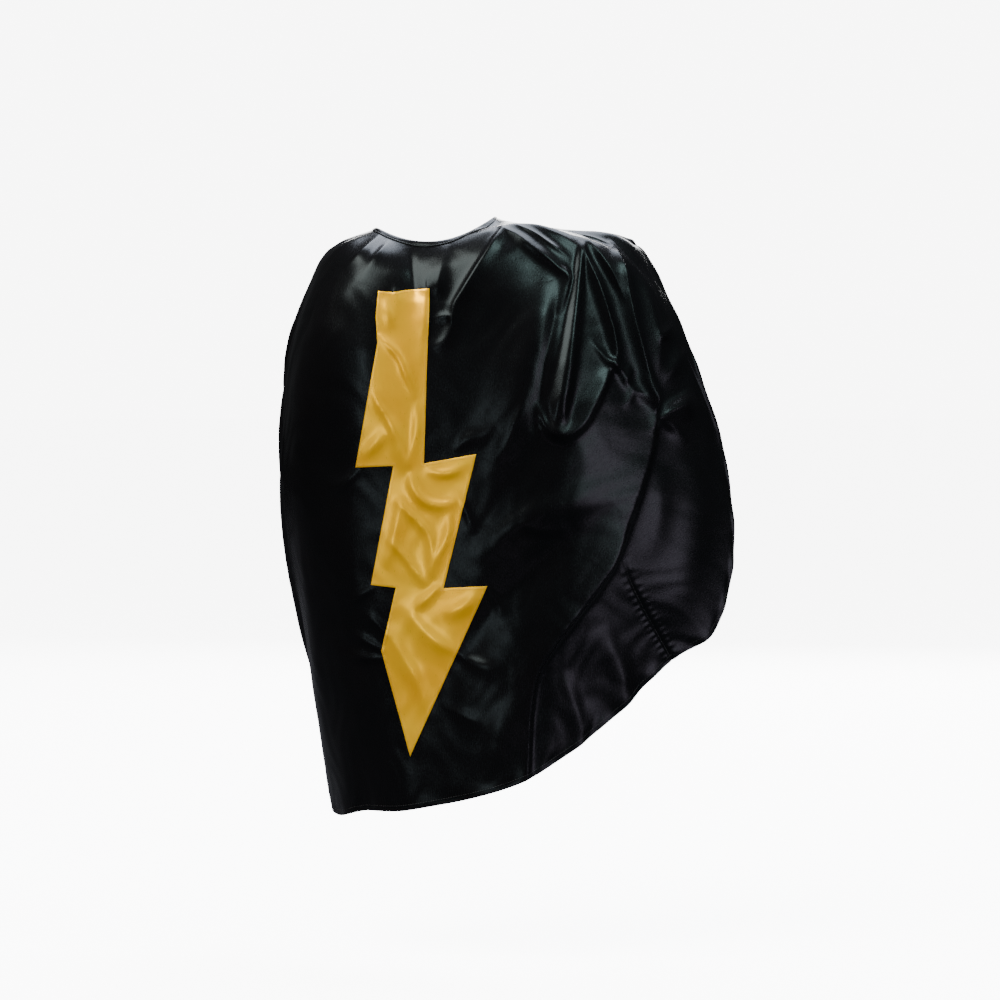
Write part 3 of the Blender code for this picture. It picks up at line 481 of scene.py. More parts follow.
# %% The folds of the right side panel
SIDE_FOLDS = [
    (1.5, [(258, -230, 2, 8, 5), (274, -218, 6.5, 14, 6), (292, -208, 6.5, 20, 6),
           (310, -198, 0, 20, 8)]),
    (1.5, [(266, -190, 0, 8, 8), (286, -160, 3, 9, 10), (300, -146, 0, 10, 10)]),
    (1.5, [(262, -226, 2, 6, 6), (282, -240, 3, 8, 8), (300, -262, 0, 12, 12)]),
    (1.6, [(240, -46, 0, 7, 7), (256, -92, 3, 9, 9), (264, -139, 3.5, 9, 9), (262, -180, 0, 8, 8)]),
    (1.5, [(258, -130, 0, 6, 5), (270, -126, 3.5, 8, 5), (284, -116, 0, 10, 8)]),
    (2.0, [(296, -250, 0, 22, 22), (306, -330, 3.4, 26, 24), (296, -410, 3, 26, 24),
           (280, -480, 0, 22, 22)]),
    (1.8, [(262, -280, 0, 10, 10), (264, -340, 2, 12, 14), (250, -400, 0, 14, 16)]),
    (1.8, [(190, -470, 0, 14, 12), (216, -520, 4, 16, 14), (220, -570, 4, 16, 14),
           (222, -600, 2, 16, 14)]),
    (1.8, [(146, -520, 0, 10, 10), (166, -580, 4, 14, 12), (172, -640, 2, 14, 14)]),
]

# %% The slow folds of the left half
LEFT_FOLDS = [
    (2.0, [(-152, -110, 0, 14, 14), (-151, -250, 2.5, 18, 18), (-147, -420, 3, 20, 20),
           (-140, -640, 3, 20, 20)]),
    (2.0, [(-104, -330, 0, 14, 16), (-112, -450, 3, 18, 20), (-102, -600, 4, 20, 22),
           (-98, -700, 4, 20, 22)]),
    (2.0, [(-152, -460, 0, 12, 12), (-130, -540, 2, 16, 16), (-106, -572, 0, 14, 14)]),
    (2.0, [(-46, -610, 0, 16, 16), (-40, -660, 3, 22, 22), (-36, -700, 4, 24, 24)]),
]

# %% Puckers where the bolt's stitching pulls the shell, and wrinkles in the bolt
BOLT_OUTLINE = [
    (-0.068, -0.077), (-0.050, -0.0785), (-0.036, -0.076), (-0.008, -0.074), (-0.014, -0.278),
    (0.047, -0.267), (0.009, -0.423), (0.060, -0.420),
    (-0.030, -0.620), (-0.064, -0.497), (-0.047, -0.423), (-0.076, -0.420), (-0.050, -0.281),
    (-0.094, -0.283),
    (-0.0685, -0.137), (-0.0708, -0.107),
]
PUCKERS = [
    (1.8, [(20, -266, 0, 5, 5), (36, -251, 2.6, 8, 8), (54, -244, 1.5, 9, 9), (70, -236, 0, 12, 12)]),
    (1.7, [(-92, -288, 1, 3, 3), (-106, -300, 2.2, 6, 6), (-128, -316, 0, 11, 11)]),
    (1.7, [(-62, -497, 1, 3, 3), (-80, -487, 2.6, 5, 5), (-112, -470, 0, 10, 10)]),
    (1.7, [(-62, -506, 0.8, 3, 3), (-82, -505, 2.4, 5, 6), (-112, -500, 0, 10, 10)]),
    (1.7, [(-56, -480, 0.8, 3, 3), (-68, -466, 2, 4, 5), (-86, -452, 0, 8, 8)]),
    (1.7, [(-74, -424, 0.8, 3, 3), (-88, -432, 2, 5, 5), (-106, -446, 0, 9, 9)]),
    (1.7, [(30, -322, 0.8, 3, 3), (38, -340, 2, 5, 5), (46, -362, 0, 9, 9)]),
    (1.7, [(62, -424, 0.8, 3, 3), (70, -438, 2, 5, 6), (80, -462, 0, 10, 10)]),
    (1.8, [(26, -500, 0.6, 4, 4), (52, -512, 2.4, 10, 8), (84, -518, 0, 14, 14)]),
    (1.8, [(10, -560, 0.5, 3, 3), (34, -572, 1.6, 7, 7), (60, -584, 0, 11, 11)]),
]
WRINKLES = [
    (1.3, [(-70, -126, 0, 3, 4), (-58, -138, 2.6, 4, 5), (-44, -153, 3.4, 4, 5), (-35, -174, 3.2, 4, 5),
           (-24, -204, 0, 5, 6)]),
    (1.3, [(-76, -190, 0, 3, 4), (-66, -210, 2.8, 4, 5), (-55, -228, 2.8, 4, 6), (-44, -256, 0, 6, 8)]),
    (2.0, [(-54, -222, 0, 8, 8), (-45, -246, 3.6, 11, 9), (-38, -270, 3, 11, 9), (-32, -292, 0, 9, 8)]),
    (1.6, [(-12, -76, 1.8, 8, 5), (-13, -110, 3.2, 9, 5), (-16, -134, 1.4, 8, 5),
           (-19, -156, 0, 7, 5)]),
    (1.4, [(-48, -77, 1.6, 3, 4), (-46, -90, 1.2, 4, 5), (-50, -112, 0, 6, 6)]),
    (1.8, [(-60, -84, 0, 5, 5), (-56, -102, 2.2, 6, 5), (-52, -124, 0, 6, 6)]),
    (1.5, [(-24, -206, 0, 4, 5), (-22, -234, 2.4, 5, 5), (-27, -262, 2.6, 5, 6), (-32, -286, 0, 6, 6)]),
    (1.8, [(-88, -274, 0, 6, 6), (-68, -252, 2.6, 7, 7), (-58, -238, 0, 7, 7)]),
    (1.5, [(-30, -286, 0, 4, 5), (-27, -304, 3.2, 5, 6), (-12, -322, 3.4, 6, 5), (10, -326, 2.4, 7, 5),
           (34, -314, 0, 7, 6)]),
    (1.6, [(-14, -286, 0, 4, 5), (12, -290, 2.8, 5, 7), (44, -273, 0, 7, 8)]),
    (1.4, [(-50, -318, 0, 5, 5), (-28, -338, 3.2, 5, 5), (-8, -362, 3.4, 5, 5), (-6, -396, 2, 6, 6),
           (-12, -420, 0, 6, 6)]),
    (1.4, [(-58, -364, 0, 4, 4), (-40, -382, 2.8, 4, 5), (-24, -404, 2.8, 4, 6), (-8, -424, 0, 6, 6)]),
    (1.5, [(16, -332, 0, 5, 4), (14, -362, 2.8, 6, 4), (2, -388, 2.6, 6, 5), (-4, -412, 0, 7, 5)]),
    (1.7, [(-60, -402, 0, 6, 6), (-50, -372, 2.4, 7, 6), (-44, -342, 2.4, 7, 6), (-40, -312, 0, 7, 6)]),
    (1.6, [(0, -424, 2, 4, 5), (-14, -438, 2.2, 5, 6), (-34, -448, 0, 6, 7)]),
    (1.8, [(-40, -436, 0, 8, 7), (-20, -466, 2.6, 9, 7), (6, -488, 2.6, 9, 7), (36, -500, 0, 9, 9)]),
    (1.8, [(-58, -466, 0, 7, 7), (-40, -500, 2.6, 8, 8), (-20, -538, 2.4, 8, 8), (-8, -580, 0, 8, 8)]),
    (1.8, [(52, -424, 0, 6, 8), (30, -446, 2.4, 7, 9), (8, -456, 0, 8, 9)]),
]
FOLDS = SHOULDER_FOLDS + SWAG_FOLDS + LONG_FOLDS + SIDE_FOLDS + LEFT_FOLDS
print(len(FOLDS), "folds,", len(PUCKERS), "puckers round the bolt and", len(WRINKLES), "wrinkles in it")

# %% Lift the cloth along every fold
on_back = 1.0 - ease(np.abs(near), 95.0, 120.0)
facing = ease(-normal[..., 1], 0.12, 0.55)
view = place[..., [0, 2]].reshape(-1, 2)


def lifted_by(folds):
    """How far folds lift the cloth, where it faces the way they are drawn."""
    lifts = sum(fold(view, crest, path) for crest, path in folds)
    return lifts.reshape(place.shape[:2]) * on_back * facing


lift = lifted_by(FOLDS)
creases = lifted_by(PUCKERS + WRINKLES)
print("the folds lift the cloth by up to", round(float(lift.max()) / MM, 1), "mm")

# %% Loose pleats down the hidden sides, and a slow unevenness everywhere
LEFT_PLEAT = 9.0 * MM
RIGHT_PLEAT = 6.0 * MM
column_share = np.linspace(0.0, 1.0, LEFT_SEAM + 1)[:, None]
pleats = np.zeros(place.shape[:2])
left_wave = np.sin(2 * math.pi * (4.5 * column_share + 0.25 * row_share))
pleats[: LEFT_SEAM + 1] = LEFT_PLEAT * left_wave * ease(column_share, 0.0, 0.08)
right_wave = np.sin(2 * math.pi * (4.0 * column_share - 0.2 * row_share))
pleats[RIGHT_SEAM:] = (RIGHT_PLEAT * right_wave * ease(column_share, 0.0, 0.08))[::-1]
hidden = 1.0 - ease(-normal[..., 1], -0.25, 0.25)
pleats *= hidden * ease(row_share, 0.12, 0.75) * (1.0 - 0.5 * ease(np.abs(near), 120.0, 150.0))
u, v = flat[..., 0], flat[..., 1]
uneven = 0.9 * np.sin(u * 41.0 + 1.3 * np.sin(v * 17.0)) * np.sin(v * 23.0 + 1.1 * np.sin(u * 29.0 + 0.7))
uneven += 0.25 * np.sin(u * 130.0 + 2.0 * np.sin(v * 60.0)) * np.sin(v * 95.0 + 1.7 * np.sin(u * 80.0))
uneven *= MM * ease(row_share, 0.0, 0.06)
lining_place = place + (lift + pleats + uneven)[..., None] * normal
place = lining_place + creases[..., None] * normal
print("pleats up to", round(float(np.abs(pleats).max()) / MM, 1), "mm deep")

# %% [markdown]
# ## Finishes
# Every finish is a node tree. Satin is smooth long floats of thread, so it mirrors more along one
# direction than across it. That is the shader's anisotropy, turned by the tangent of the cloth's
# own UV map, which holds the flat pattern in metres. A fine ribbed bump gives the threads.


def new_finish(name):
    """A material, its node tree and its shader."""
    made = bpy.data.materials.new(name)
    made.use_nodes = True
    return made, made.node_tree, made.node_tree.nodes["Principled BSDF"]


def noise_on(tree, where, scale, detail):
    """A noise read at the places that the socket where gives."""
    noise = tree.nodes.new("ShaderNodeTexNoise")
    noise.inputs["Scale"].default_value = scale
    noise.inputs["Detail"].default_value = detail
    tree.links.new(where, noise.inputs["Vector"])
    return noise


def bump_from(tree, height, strength, distance, shader):
    """Let a height roughen the shader's normals."""
    bump = tree.nodes.new("ShaderNodeBump")
    bump.inputs["Strength"].default_value = strength
    bump.inputs["Distance"].default_value = distance
    tree.links.new(height, bump.inputs["Height"])
    tree.links.new(bump.outputs[0], shader.inputs["Normal"])


# %% A satin finish
def satin(name, colour, other, roughness, glint, level=0.5, tint=(1.0, 1.0, 1.0), metallic=0.0):
    """Woven satin. colour and other are its two close tones, blended by noise: random tone, and for the
    yellow satin also painted patches of sheen. glint is the strength of its bump.
    """
    made, tree, shader = new_finish(name)
    uv = tree.nodes.new("ShaderNodeUVMap")
    uv.uv_map = "pattern"
    # The two tones are blended by noise: random tone, which for the yellow satin also paints bright and dull
    # patches of sheen into the colour.
    tone_and_sheen = noise_on(tree, uv.outputs[0], 14.0, 3.0)
    blend = tree.nodes.new("ShaderNodeMix")
    blend.data_type = "RGBA"
    blend.inputs["A"].default_value = (*colour, 1.0)
    blend.inputs["B"].default_value = (*other, 1.0)
    tree.links.new(tone_and_sheen.outputs["Fac"], blend.inputs["Factor"])
    tree.links.new(blend.outputs["Result"], shader.inputs["Base Color"])
    stretch = tree.nodes.new("ShaderNodeMapping")
    stretch.inputs["Scale"].default_value = (1000.0, 130.0, 1.0)
    tree.links.new(uv.outputs[0], stretch.inputs["Vector"])
    threads = noise_on(tree, stretch.outputs[0], 1.0, 2.0)
    grain = noise_on(tree, uv.outputs[0], 750.0, 2.0)
    weave = tree.nodes.new("ShaderNodeMath")
    weave.operation = "ADD"
    tree.links.new(threads.outputs["Fac"], weave.inputs[0])
    tree.links.new(grain.outputs["Fac"], weave.inputs[1])
    spread = tree.nodes.new("ShaderNodeMapRange")
    spread.inputs["To Min"].default_value = roughness - 0.05
    spread.inputs["To Max"].default_value = roughness + 0.07
    tree.links.new(threads.outputs["Fac"], spread.inputs["Value"])
    tree.links.new(spread.outputs[0], shader.inputs["Roughness"])
    bump_from(tree, weave.outputs[0], glint, 0.0002, shader)
    tangent = tree.nodes.new("ShaderNodeTangent")
    tangent.direction_type = "UV_MAP"
    tangent.uv_map = "pattern"
    tree.links.new(tangent.outputs[0], shader.inputs["Tangent"])
    shader.inputs["Anisotropic"].default_value = 0.45
    shader.inputs["Specular IOR Level"].default_value = level
    shader.inputs["Specular Tint"].default_value = (*tint, 1.0)
    shader.inputs["Metallic"].default_value = metallic
    return made


black_satin = satin("black_satin", (0.0018, 0.0020, 0.0022), (0.0032, 0.0027, 0.0032), 0.25, 0.35,
                    level=0.12, tint=(0.80, 0.97, 1.0))
black_lining = satin("black_lining", (0.009, 0.009, 0.010), (0.012, 0.012, 0.013), 0.48, 0.3)
# The yellow satin's lighter and darker tones are random tone and also painted sheen: patches of satin sheen
# painted into its base colour.
yellow_satin = satin("yellow_satin", (0.80, 0.335, 0.005), (0.98, 0.58, 0.011), 0.29, 0.10,
                     level=0.20, tint=(1.0, 0.75, 0.1), metallic=0.50)
print("satins:", black_satin.name, black_lining.name, yellow_satin.name)


# %% Thread, tape and the hidden layers
def fibre(name, colour, roughness, scale, height):
    """A matt fibrous finish in the piece's own coordinates."""
    made, tree, shader = new_finish(name)
    where = tree.nodes.new("ShaderNodeTexCoord")
    noise = noise_on(tree, where.outputs["Object"], scale, 4.0)
    ramp = tree.nodes.new("ShaderNodeValToRGB")
    ramp.color_ramp.elements[0].position = 0.3
    ramp.color_ramp.elements[0].color = (*[c * 0.8 for c in colour], 1.0)
    ramp.color_ramp.elements[1].position = 0.7
    ramp.color_ramp.elements[1].color = (*[min(1.0, c * 1.15) for c in colour], 1.0)
    tree.links.new(noise.outputs["Fac"], ramp.inputs["Fac"])
    tree.links.new(ramp.outputs["Color"], shader.inputs["Base Color"])
    bump_from(tree, noise.outputs["Fac"], 0.5, height, shader)
    shader.inputs["Roughness"].default_value = roughness
    return made


black_thread = fibre("black_thread", (0.005, 0.005, 0.0055), 0.5, 4000.0, 0.0001)
yellow_thread = fibre("yellow_thread", (0.74, 0.42, 0.04), 0.5, 4000.0, 0.0001)
interfacing = fibre("interfacing", (0.72, 0.71, 0.67), 0.9, 1500.0, 0.0002)
fusible_web = fibre("fusible_web", (0.78, 0.78, 0.75), 0.7, 1200.0, 0.0002)
hook_nylon = fibre("hook_nylon", (0.016, 0.016, 0.018), 0.45, 2500.0, 0.0001)
loop_nylon = fibre("loop_nylon", (0.022, 0.022, 0.024), 0.9, 3000.0, 0.0003)
label_tape = fibre("label_tape", (0.82, 0.82, 0.79), 0.6, 2500.0, 0.0001)
print("fibres made")

# %% [markdown]
# ## The shell
# The shell is the outer layer, cut in three: the back and two sides. At its outer edge the satin
# turns over a small radius and runs a few millimetres back inside, which is how a lined cape is
# bagged out. At a seam both panels roll inwards into a shallow groove, and the thread gathers them,
# so small puckers run across the seam.

# %% Build a piece of cloth from a grid
def grid_faces(columns, rows):
    """Corner numbers of the faces of a grid whose places run down one column after another."""
    index = np.arange(columns * rows).reshape(columns, rows)
    corners = [index[:-1, :-1], index[:-1, 1:], index[1:, 1:], index[1:, :-1]]
    return np.stack(corners, axis=-1).reshape(-1, 4).tolist()


def new_piece(name, places, faces, material):
    """A smooth object of one finish."""
    mesh = bpy.data.meshes.new(name)
    mesh.from_pydata(places.reshape(-1, 3).tolist(), [], faces)
    mesh.polygons.foreach_set("use_smooth", np.ones(len(mesh.polygons), bool))
    mesh.materials.append(material)
    piece = bpy.data.objects.new(name, mesh)
    bpy.context.scene.collection.objects.link(piece)
    return piece


def place_piece(piece, body):
    """Attach a piece to the body that carries it. With no body it is left unattached."""
    if body:
        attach(piece, body)


def cloth_piece(name, places, pattern, material, body="cape"):
    """A grid of places, [column, row], as a mesh with the flat pattern as its UV map."""
    piece = new_piece(name, places, grid_faces(*places.shape[:2]), material)
    mesh = piece.data
    uv = mesh.uv_layers.new(name="pattern")
    corner = np.empty(len(mesh.loops), np.int32)
    mesh.loops.foreach_get("vertex_index", corner)
    uv.data.foreach_set("uv", pattern.reshape(-1, 2)[corner].astype(np.float32).ravel())
    mesh.update()
    place_piece(piece, body)
    return piece


def signed_volume(mesh):
    """Signed volume of a mesh, below zero where its faces point inwards."""
    made = bmesh.new()
    made.from_mesh(mesh)
    volume = made.calc_volume(signed=True)
    made.free()
    return volume


def face_outwards(mesh):
    """Turn a closed mesh's faces outwards."""
    if signed_volume(mesh) < 0:
        mesh.flip_normals()


def close_up(piece, smooth):
    """Weld a piece's meeting edges, fill its ends and face it outwards."""
    made = bmesh.new()
    made.from_mesh(piece.data)
    bmesh.ops.remove_doubles(made, verts=made.verts, dist=0.01 * MM)
    bmesh.ops.holes_fill(made, edges=[e for e in made.edges if e.is_boundary], sides=0)
    bmesh.ops.recalc_face_normals(made, faces=made.faces)
    made.to_mesh(piece.data)
    made.free()
    face_outwards(piece.data)
    piece.data.polygons.foreach_set("use_smooth", np.full(len(piece.data.polygons), smooth))


def pattern_size(pattern):
    """Width and length of the flat pattern that a grid covers."""
    size = pattern.reshape(-1, 2).max(0) - pattern.reshape(-1, 2).min(0)
    return (float(size[0]), float(size[1]))


# %% Seam grooves and puckers
GROOVE_DEPTH = 1.5 * MM
GROOVE_WIDTH = 2.2 * MM
RIPPLE_HEIGHT = 0.28 * MM
RIPPLE_LENGTH = 9.0 * MM
HEM_RIPPLE_HEIGHT = 0.9 * MM
HEM_RIPPLE_LENGTH = 55.0 * MM
seam_away = np.full(place.shape[:2], 1.0)
seam_along = np.zeros(place.shape[:2])
for seam in (LEFT_SEAM, RIGHT_SEAM):
    along = distances_along(place[seam])
    away = np.linalg.norm(place - place[seam][None], axis=-1)
    closer = away < seam_away
    seam_away[closer] = away[closer]
    seam_along = np.where(closer, along[None, :], seam_along)
pressed = 0.02 + 0.98 * ease(row_share, 0.72, 0.86)
groove = -GROOVE_DEPTH * pressed * np.exp(-((seam_away / GROOVE_WIDTH) ** 2))
ripple = np.sin(seam_along / RIPPLE_LENGTH * 2 * math.pi + 2.5 * np.sin(seam_along * 43.0))
ripple = RIPPLE_HEIGHT * pressed * ripple * np.exp(-((seam_away - 5 * MM) / (6.0 * MM)) ** 2)
edge_away = np.linalg.norm(place - place[:, -1:], axis=-1)
edge_along = distances_along(place[:, -1])[:, None]
hem_ripple = np.sin(edge_along / HEM_RIPPLE_LENGTH * 2 * math.pi + 2.5 * np.sin(edge_along * 9.0))
hem_ripple = HEM_RIPPLE_HEIGHT * hem_ripple * np.exp(-((edge_away - 3 * MM) / (8.0 * MM)) ** 2)
normal = grid_normals(place)
surface = place + (groove + ripple + hem_ripple)[..., None] * normal
normal = grid_normals(surface)
print("groove", round(float(groove.min()) / MM, 2), "mm deep")


# %% Shell panels
def turned_edge(columns):
    """Places and pattern of a run of columns, with the outer edge turned over and back inside."""
    body = surface[columns]
    out = body[:, -1] - body[:, -4]
    out /= np.linalg.norm(out, axis=-1, keepdims=True)
    up = normal[columns][:, -1]
    steps = [(0.35, -0.12), (0.55, -0.45), (0.35, -0.80), (-0.6, -0.95), (-3.0, -1.0)]
    rim = np.stack([body[:, -1] + a * MM * out + b * MM * up for a, b in steps], axis=1)
    pattern = flat[columns]
    beyond = pattern[:, -1:] - pattern[:, -2:-1]
    beyond = beyond / np.linalg.norm(beyond, axis=-1, keepdims=True)
    run = np.array([0.4, 0.8, 1.2, 2.2, 4.6])[None, :, None] * MM
    turned = pattern[:, -1:] + run * beyond
    return np.concatenate([body, rim], axis=1), np.concatenate([pattern, turned], axis=1)


def join_shading(piece, columns):
    """Give the panel's seam edges the shell's own normals, so that its shading runs on across a seam."""
    mesh = piece.data
    rows = len(mesh.vertices) // (columns.stop - columns.start)
    outs = np.empty(len(mesh.vertices) * 3, np.float32)
    mesh.vertices.foreach_get("normal", outs)
    outs = outs.reshape(-1, rows, 3)
    shared = min(rows, surface.shape[1])
    for edge, column in ((0, columns.start), (-1, columns.stop - 1)):
        if column in (LEFT_SEAM, RIGHT_SEAM):
            outs[edge, :shared] = normal[column, :shared]
    mesh.normals_split_custom_set_from_vertices(outs.reshape(-1, 3).tolist())


PANELS = {
    "left_side_panel": slice(0, LEFT_SEAM + 1),
    "back_panel": slice(LEFT_SEAM, RIGHT_SEAM + 1),
    "right_side_panel": slice(RIGHT_SEAM, LAST_COLUMN + 1),
}
for panel, columns in PANELS.items():
    places, pattern = turned_edge(columns)
    piece = cloth_piece(f"satin_{panel}", places, pattern, black_satin)
    join_shading(piece, columns)
    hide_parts(f"shell_{panel}")
    cut = [round(side, 3) for side in pattern_size(pattern)]
    print(piece.name, len(piece.data.polygons), "faces, cut", cut)

# %% Lining panels
LINING_DEPTH = 1.5 * MM
lining_normal = grid_normals(lining_place)
lining_surface = lining_place + (groove + ripple + hem_ripple - LINING_DEPTH)[..., None] * lining_normal
for panel, columns in PANELS.items():
    inner = lining_surface[columns][::2, :]
    rows = np.r_[np.arange(0, ROWS - 1, 2), ROWS - 1]
    places, pattern = inner[:, rows][:, ::-1], flat[columns][::2][:, rows][:, ::-1]
    piece = cloth_piece(f"lining_{panel}_cloth", places, pattern, black_lining)
    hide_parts(f"lining_{panel}")
    print(piece.name, len(piece.data.polygons), "faces")

# %% [markdown]
# ## The lightning bolt
# The bolt is cut from yellow satin, fused to the shell with a web of glue, and stitched down just
# inside its edge. It is made as a fine flat mesh in the bolt's outline, laid on the shell so that
# it takes every fold, and then given the thickness of the cloth. A small bevel rounds the cut edge,
# which is what catches the light.

# %% Lay a flat outline on the back of the shell
back = slice(LEFT_SEAM, RIGHT_SEAM + 1)
back_place = surface[back]
shell_tree = BVHTree.FromPolygons(back_place.reshape(-1, 3).tolist(), grid_faces(*back_place.shape[:2]))


def even_outline(outline, step):
    """Points at about every step along a closed outline, with its corners kept."""
    made = []
    for a, b in zip(outline, outline[1:] + outline[:1]):
        a, b = np.array(a), np.array(b)
        count = max(1, round(float(np.linalg.norm(b - a)) / step))
        made += [tuple(a + (b - a) * k / count) for k in range(count)]
    return made


def signed_area(outline):
    """Area inside a closed outline, below zero where it runs clockwise."""
    return sum(a[0] * b[1] - a[1] * b[0] for a, b in zip(outline, outline[1:] + outline[:1])) / 2


def inset_outline(outline, inset):
    """The outline moved inwards, whichever way round it runs."""
    points = np.array(outline)
    ahead = np.roll(points, -1, axis=0) - points
    ahead /= np.linalg.norm(ahead, axis=1, keepdims=True)
    inward = np.stack([-ahead[:, 1], ahead[:, 0]], axis=1) * math.copysign(1.0, signed_area(outline))
    before = np.roll(inward, 1, axis=0)
    turn = (inward + before) / (1.0 + np.sum(inward * before, axis=1, keepdims=True))
    return [tuple(point) for point in points + inset * turn]


def on_shell(points, height):
    """Places height above the shell's back, and its normals, at points given as (across, up)."""
    places, normals = [], []
    for x, z in points:
        hit, out, _, _ = shell_tree.ray_cast(Vector((x, -1.0, z)), Vector((0.0, 1.0, 0.0)))
        out = out if out.y < 0 else -out
        places.append(hit + height * out)
        normals.append(out)
    return np.array(places), np.array(normals)


def applique(name, outline, step, height, thickness, material):
    """A flat shape laid on the shell, height above it, with a thickness and a rounded edge."""
    rim = even_outline(outline, step)
    low, high = np.array(outline).min(0), np.array(outline).max(0)
    inner = []
    for k, z in enumerate(np.arange(low[1] + step, high[1], step * 0.866)):
        inner += [(x + 0.5 * step * (k % 2), z) for x in np.arange(low[0], high[0], step)]
    close = inset_outline(outline, 0.55 * step)
    inner = [p for p in inner if inside_outline(p, close)]
    edges = [(k, (k + 1) % len(rim)) for k in range(len(rim))]
    flat_points, _, faces, *_ = delaunay_2d_cdt([Vector(p) for p in rim + inner], edges, [], 1, 1e-7)
    places, _ = on_shell(flat_points, height)
    piece = new_piece(name, places, faces, material)
    mesh = piece.data
    uv = mesh.uv_layers.new(name="pattern")
    for loop in mesh.loops:
        uv.data[loop.index].uv = flat_points[loop.vertex_index]
    if Vector(mesh.polygons[0].normal).y > 0:
        mesh.flip_normals()
    solid = piece.modifiers.new("thickness", "SOLIDIFY")
    solid.thickness = thickness
    solid.offset = -1.0
    edge = piece.modifiers.new("edge", "BEVEL")
    edge.width = 0.3 * thickness
    edge.segments = 2
    edge.limit_method = "ANGLE"
    edge.angle_limit = math.radians(60.0)
    bpy.ops.object.select_all(action="DESELECT")
    bpy.context.view_layer.objects.active = piece
    for modifier in ("thickness", "edge"):
        bpy.ops.object.modifier_apply(modifier=modifier)
    place_piece(piece, "cape")
    return piece


def inside_outline(point, outline):
    """Whether a point lies inside a closed outline."""
    x, y = point
    inside = False
    for (ax, ay), (bx, by) in zip(outline, outline[1:] + outline[:1]):
        if (ay > y) != (by > y) and x < ax + (y - ay) * (bx - ax) / (by - ay):
            inside = not inside
    return inside


# %% The web of glue and the bolt
WEB_INSET = 1.2 * MM
web_outline = inset_outline(BOLT_OUTLINE, WEB_INSET)
web = applique("bolt_glue_web", web_outline, 6 * MM, 0.5 * MM, 0.2 * MM, fusible_web)
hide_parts("bolt_fusible_web")
bolt = applique("bolt_satin", BOLT_OUTLINE, 2.6 * MM, 1.5 * MM, 0.8 * MM, yellow_satin)
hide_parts("lightning_bolt")
bolt_area = abs(signed_area(BOLT_OUTLINE))
print("the bolt has", len(bolt.data.polygons), "faces and covers", round(bolt_area * 1e4), "cm2")

# %% [markdown]
# ## Stitches
# A lockstitch shows as a row of short plump stitches with a tiny gap at each needle hole. Each one
# is a small bent capsule whose ends dip into the cloth. The same function makes the stitches at the
# bolt's edge, along the seams and round the outer edge.

# %% Make a row of stitches
RING = 5
STATIONS = np.array([
    (0.0, -0.5, 0.35), (0.18, 0.35, 0.85), (0.5, 0.7, 1.0), (0.82, 0.35, 0.85), (1.0, -0.5, 0.35),
])


def stitch_faces(count):
    """Corner numbers of every face of count stitches."""
    faces = []
    for k in range(4):
        for j in range(RING):
            a, b = k * RING + j, k * RING + (j + 1) % RING
            faces.append((a, b, b + RING, a + RING))
    ends = [tuple(range(RING))[::-1], tuple(range(4 * RING, 5 * RING))]
    quads = (np.array(faces)[None] + np.arange(count)[:, None, None] * 5 * RING).reshape(-1, 4).tolist()
    caps = (np.array(ends)[None] + np.arange(count)[:, None, None] * 5 * RING).reshape(-1, RING).tolist()
    return quads + caps


def read_along(at, along, values):
    """Rows of values, which lie at the distances along, read at other distances."""
    return np.stack([np.interp(at, along, values[:, k]) for k in range(3)], axis=-1)


def stitches(name, rows, length, gap, radius, material, body="cape"):
    """Stitches along rows, each a line of places with the cloth's normals there."""
    corners = []
    for line, outs in rows:
        line, outs = np.asarray(line, float), np.asarray(outs, float)
        along = distances_along(line)
        count = max(1, int(along[-1] / (length + gap)))
        starts = np.arange(count) * along[-1] / count + gap / 2
        at = (starts[:, None] + STATIONS[:, 0] * length).ravel()
        spot = read_along(at, along, line)
        out = read_along(at, along, outs)
        out /= np.linalg.norm(out, axis=-1, keepdims=True)
        tangent = read_along(at + 0.2 * MM, along, line) - read_along(at - 0.2 * MM, along, line)
        tangent /= np.linalg.norm(tangent, axis=-1, keepdims=True)
        side = np.cross(out, tangent)
        rise = np.tile(STATIONS[:, 1], count)[:, None] * radius
        thick = np.tile(STATIONS[:, 2], count)[:, None] * radius
        spot = spot + rise * out
        turn = 2 * math.pi * np.arange(RING) / RING
        ring = np.cos(turn)[None, :, None] * side[:, None] + np.sin(turn)[None, :, None] * out[:, None]
        corners.append((spot[:, None] + thick[:, :, None] * ring).reshape(-1, 3))
    corners = np.concatenate(corners)
    count = len(corners) // (5 * RING)
    piece = new_piece(name, corners, stitch_faces(count), material)
    face_outwards(piece.data)
    place_piece(piece, body)
    print(name, count, "stitches")
    return piece


# %% Stitches at the bolt's edge
BOLT_STITCH_INSET = 2.6 * MM
stitch_line = even_outline(inset_outline(BOLT_OUTLINE, BOLT_STITCH_INSET), 1.6 * MM)
line, outs = on_shell(stitch_line + stitch_line[:1], 1.55 * MM)
piece = stitches("bolt_edge_stitches", [(line, outs)], 2.3 * MM, 0.5 * MM, 0.22 * MM, yellow_thread)
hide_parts("bolt_stitching")

# %% Seam threads and the topstitch round the outer edge
STITCH_INSET = 6 * MM
for seam, name in ((LEFT_SEAM, "left_seam"), (RIGHT_SEAM, "right_seam")):
    sunk = 0.15 - 0.6 * (1.0 - pressed[2:-2, None])
    line = surface[seam, 2:-2] + sunk * MM * normal[seam, 2:-2]
    rows = [(line, normal[seam, 2:-2])]
    piece = stitches(f"{name}_stitches", rows, 2.4 * MM, 0.6 * MM, 0.2 * MM, black_thread)
    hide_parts(f"{name}_thread")
rim_line, rim_out = [], []
for column in range(1, LAST_COLUMN):
    line = surface[column]
    along = distances_along(line)
    at = along[-1] - STITCH_INSET
    rim_line.append(read_along(at, along, line))
    rim_out.append(read_along(at, along, normal[column]))
rows = [(rim_line, rim_out)]
piece = stitches("edge_stitches", rows, 2.5 * MM, 0.6 * MM, 0.2 * MM, black_thread)
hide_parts("edge_topstitch")

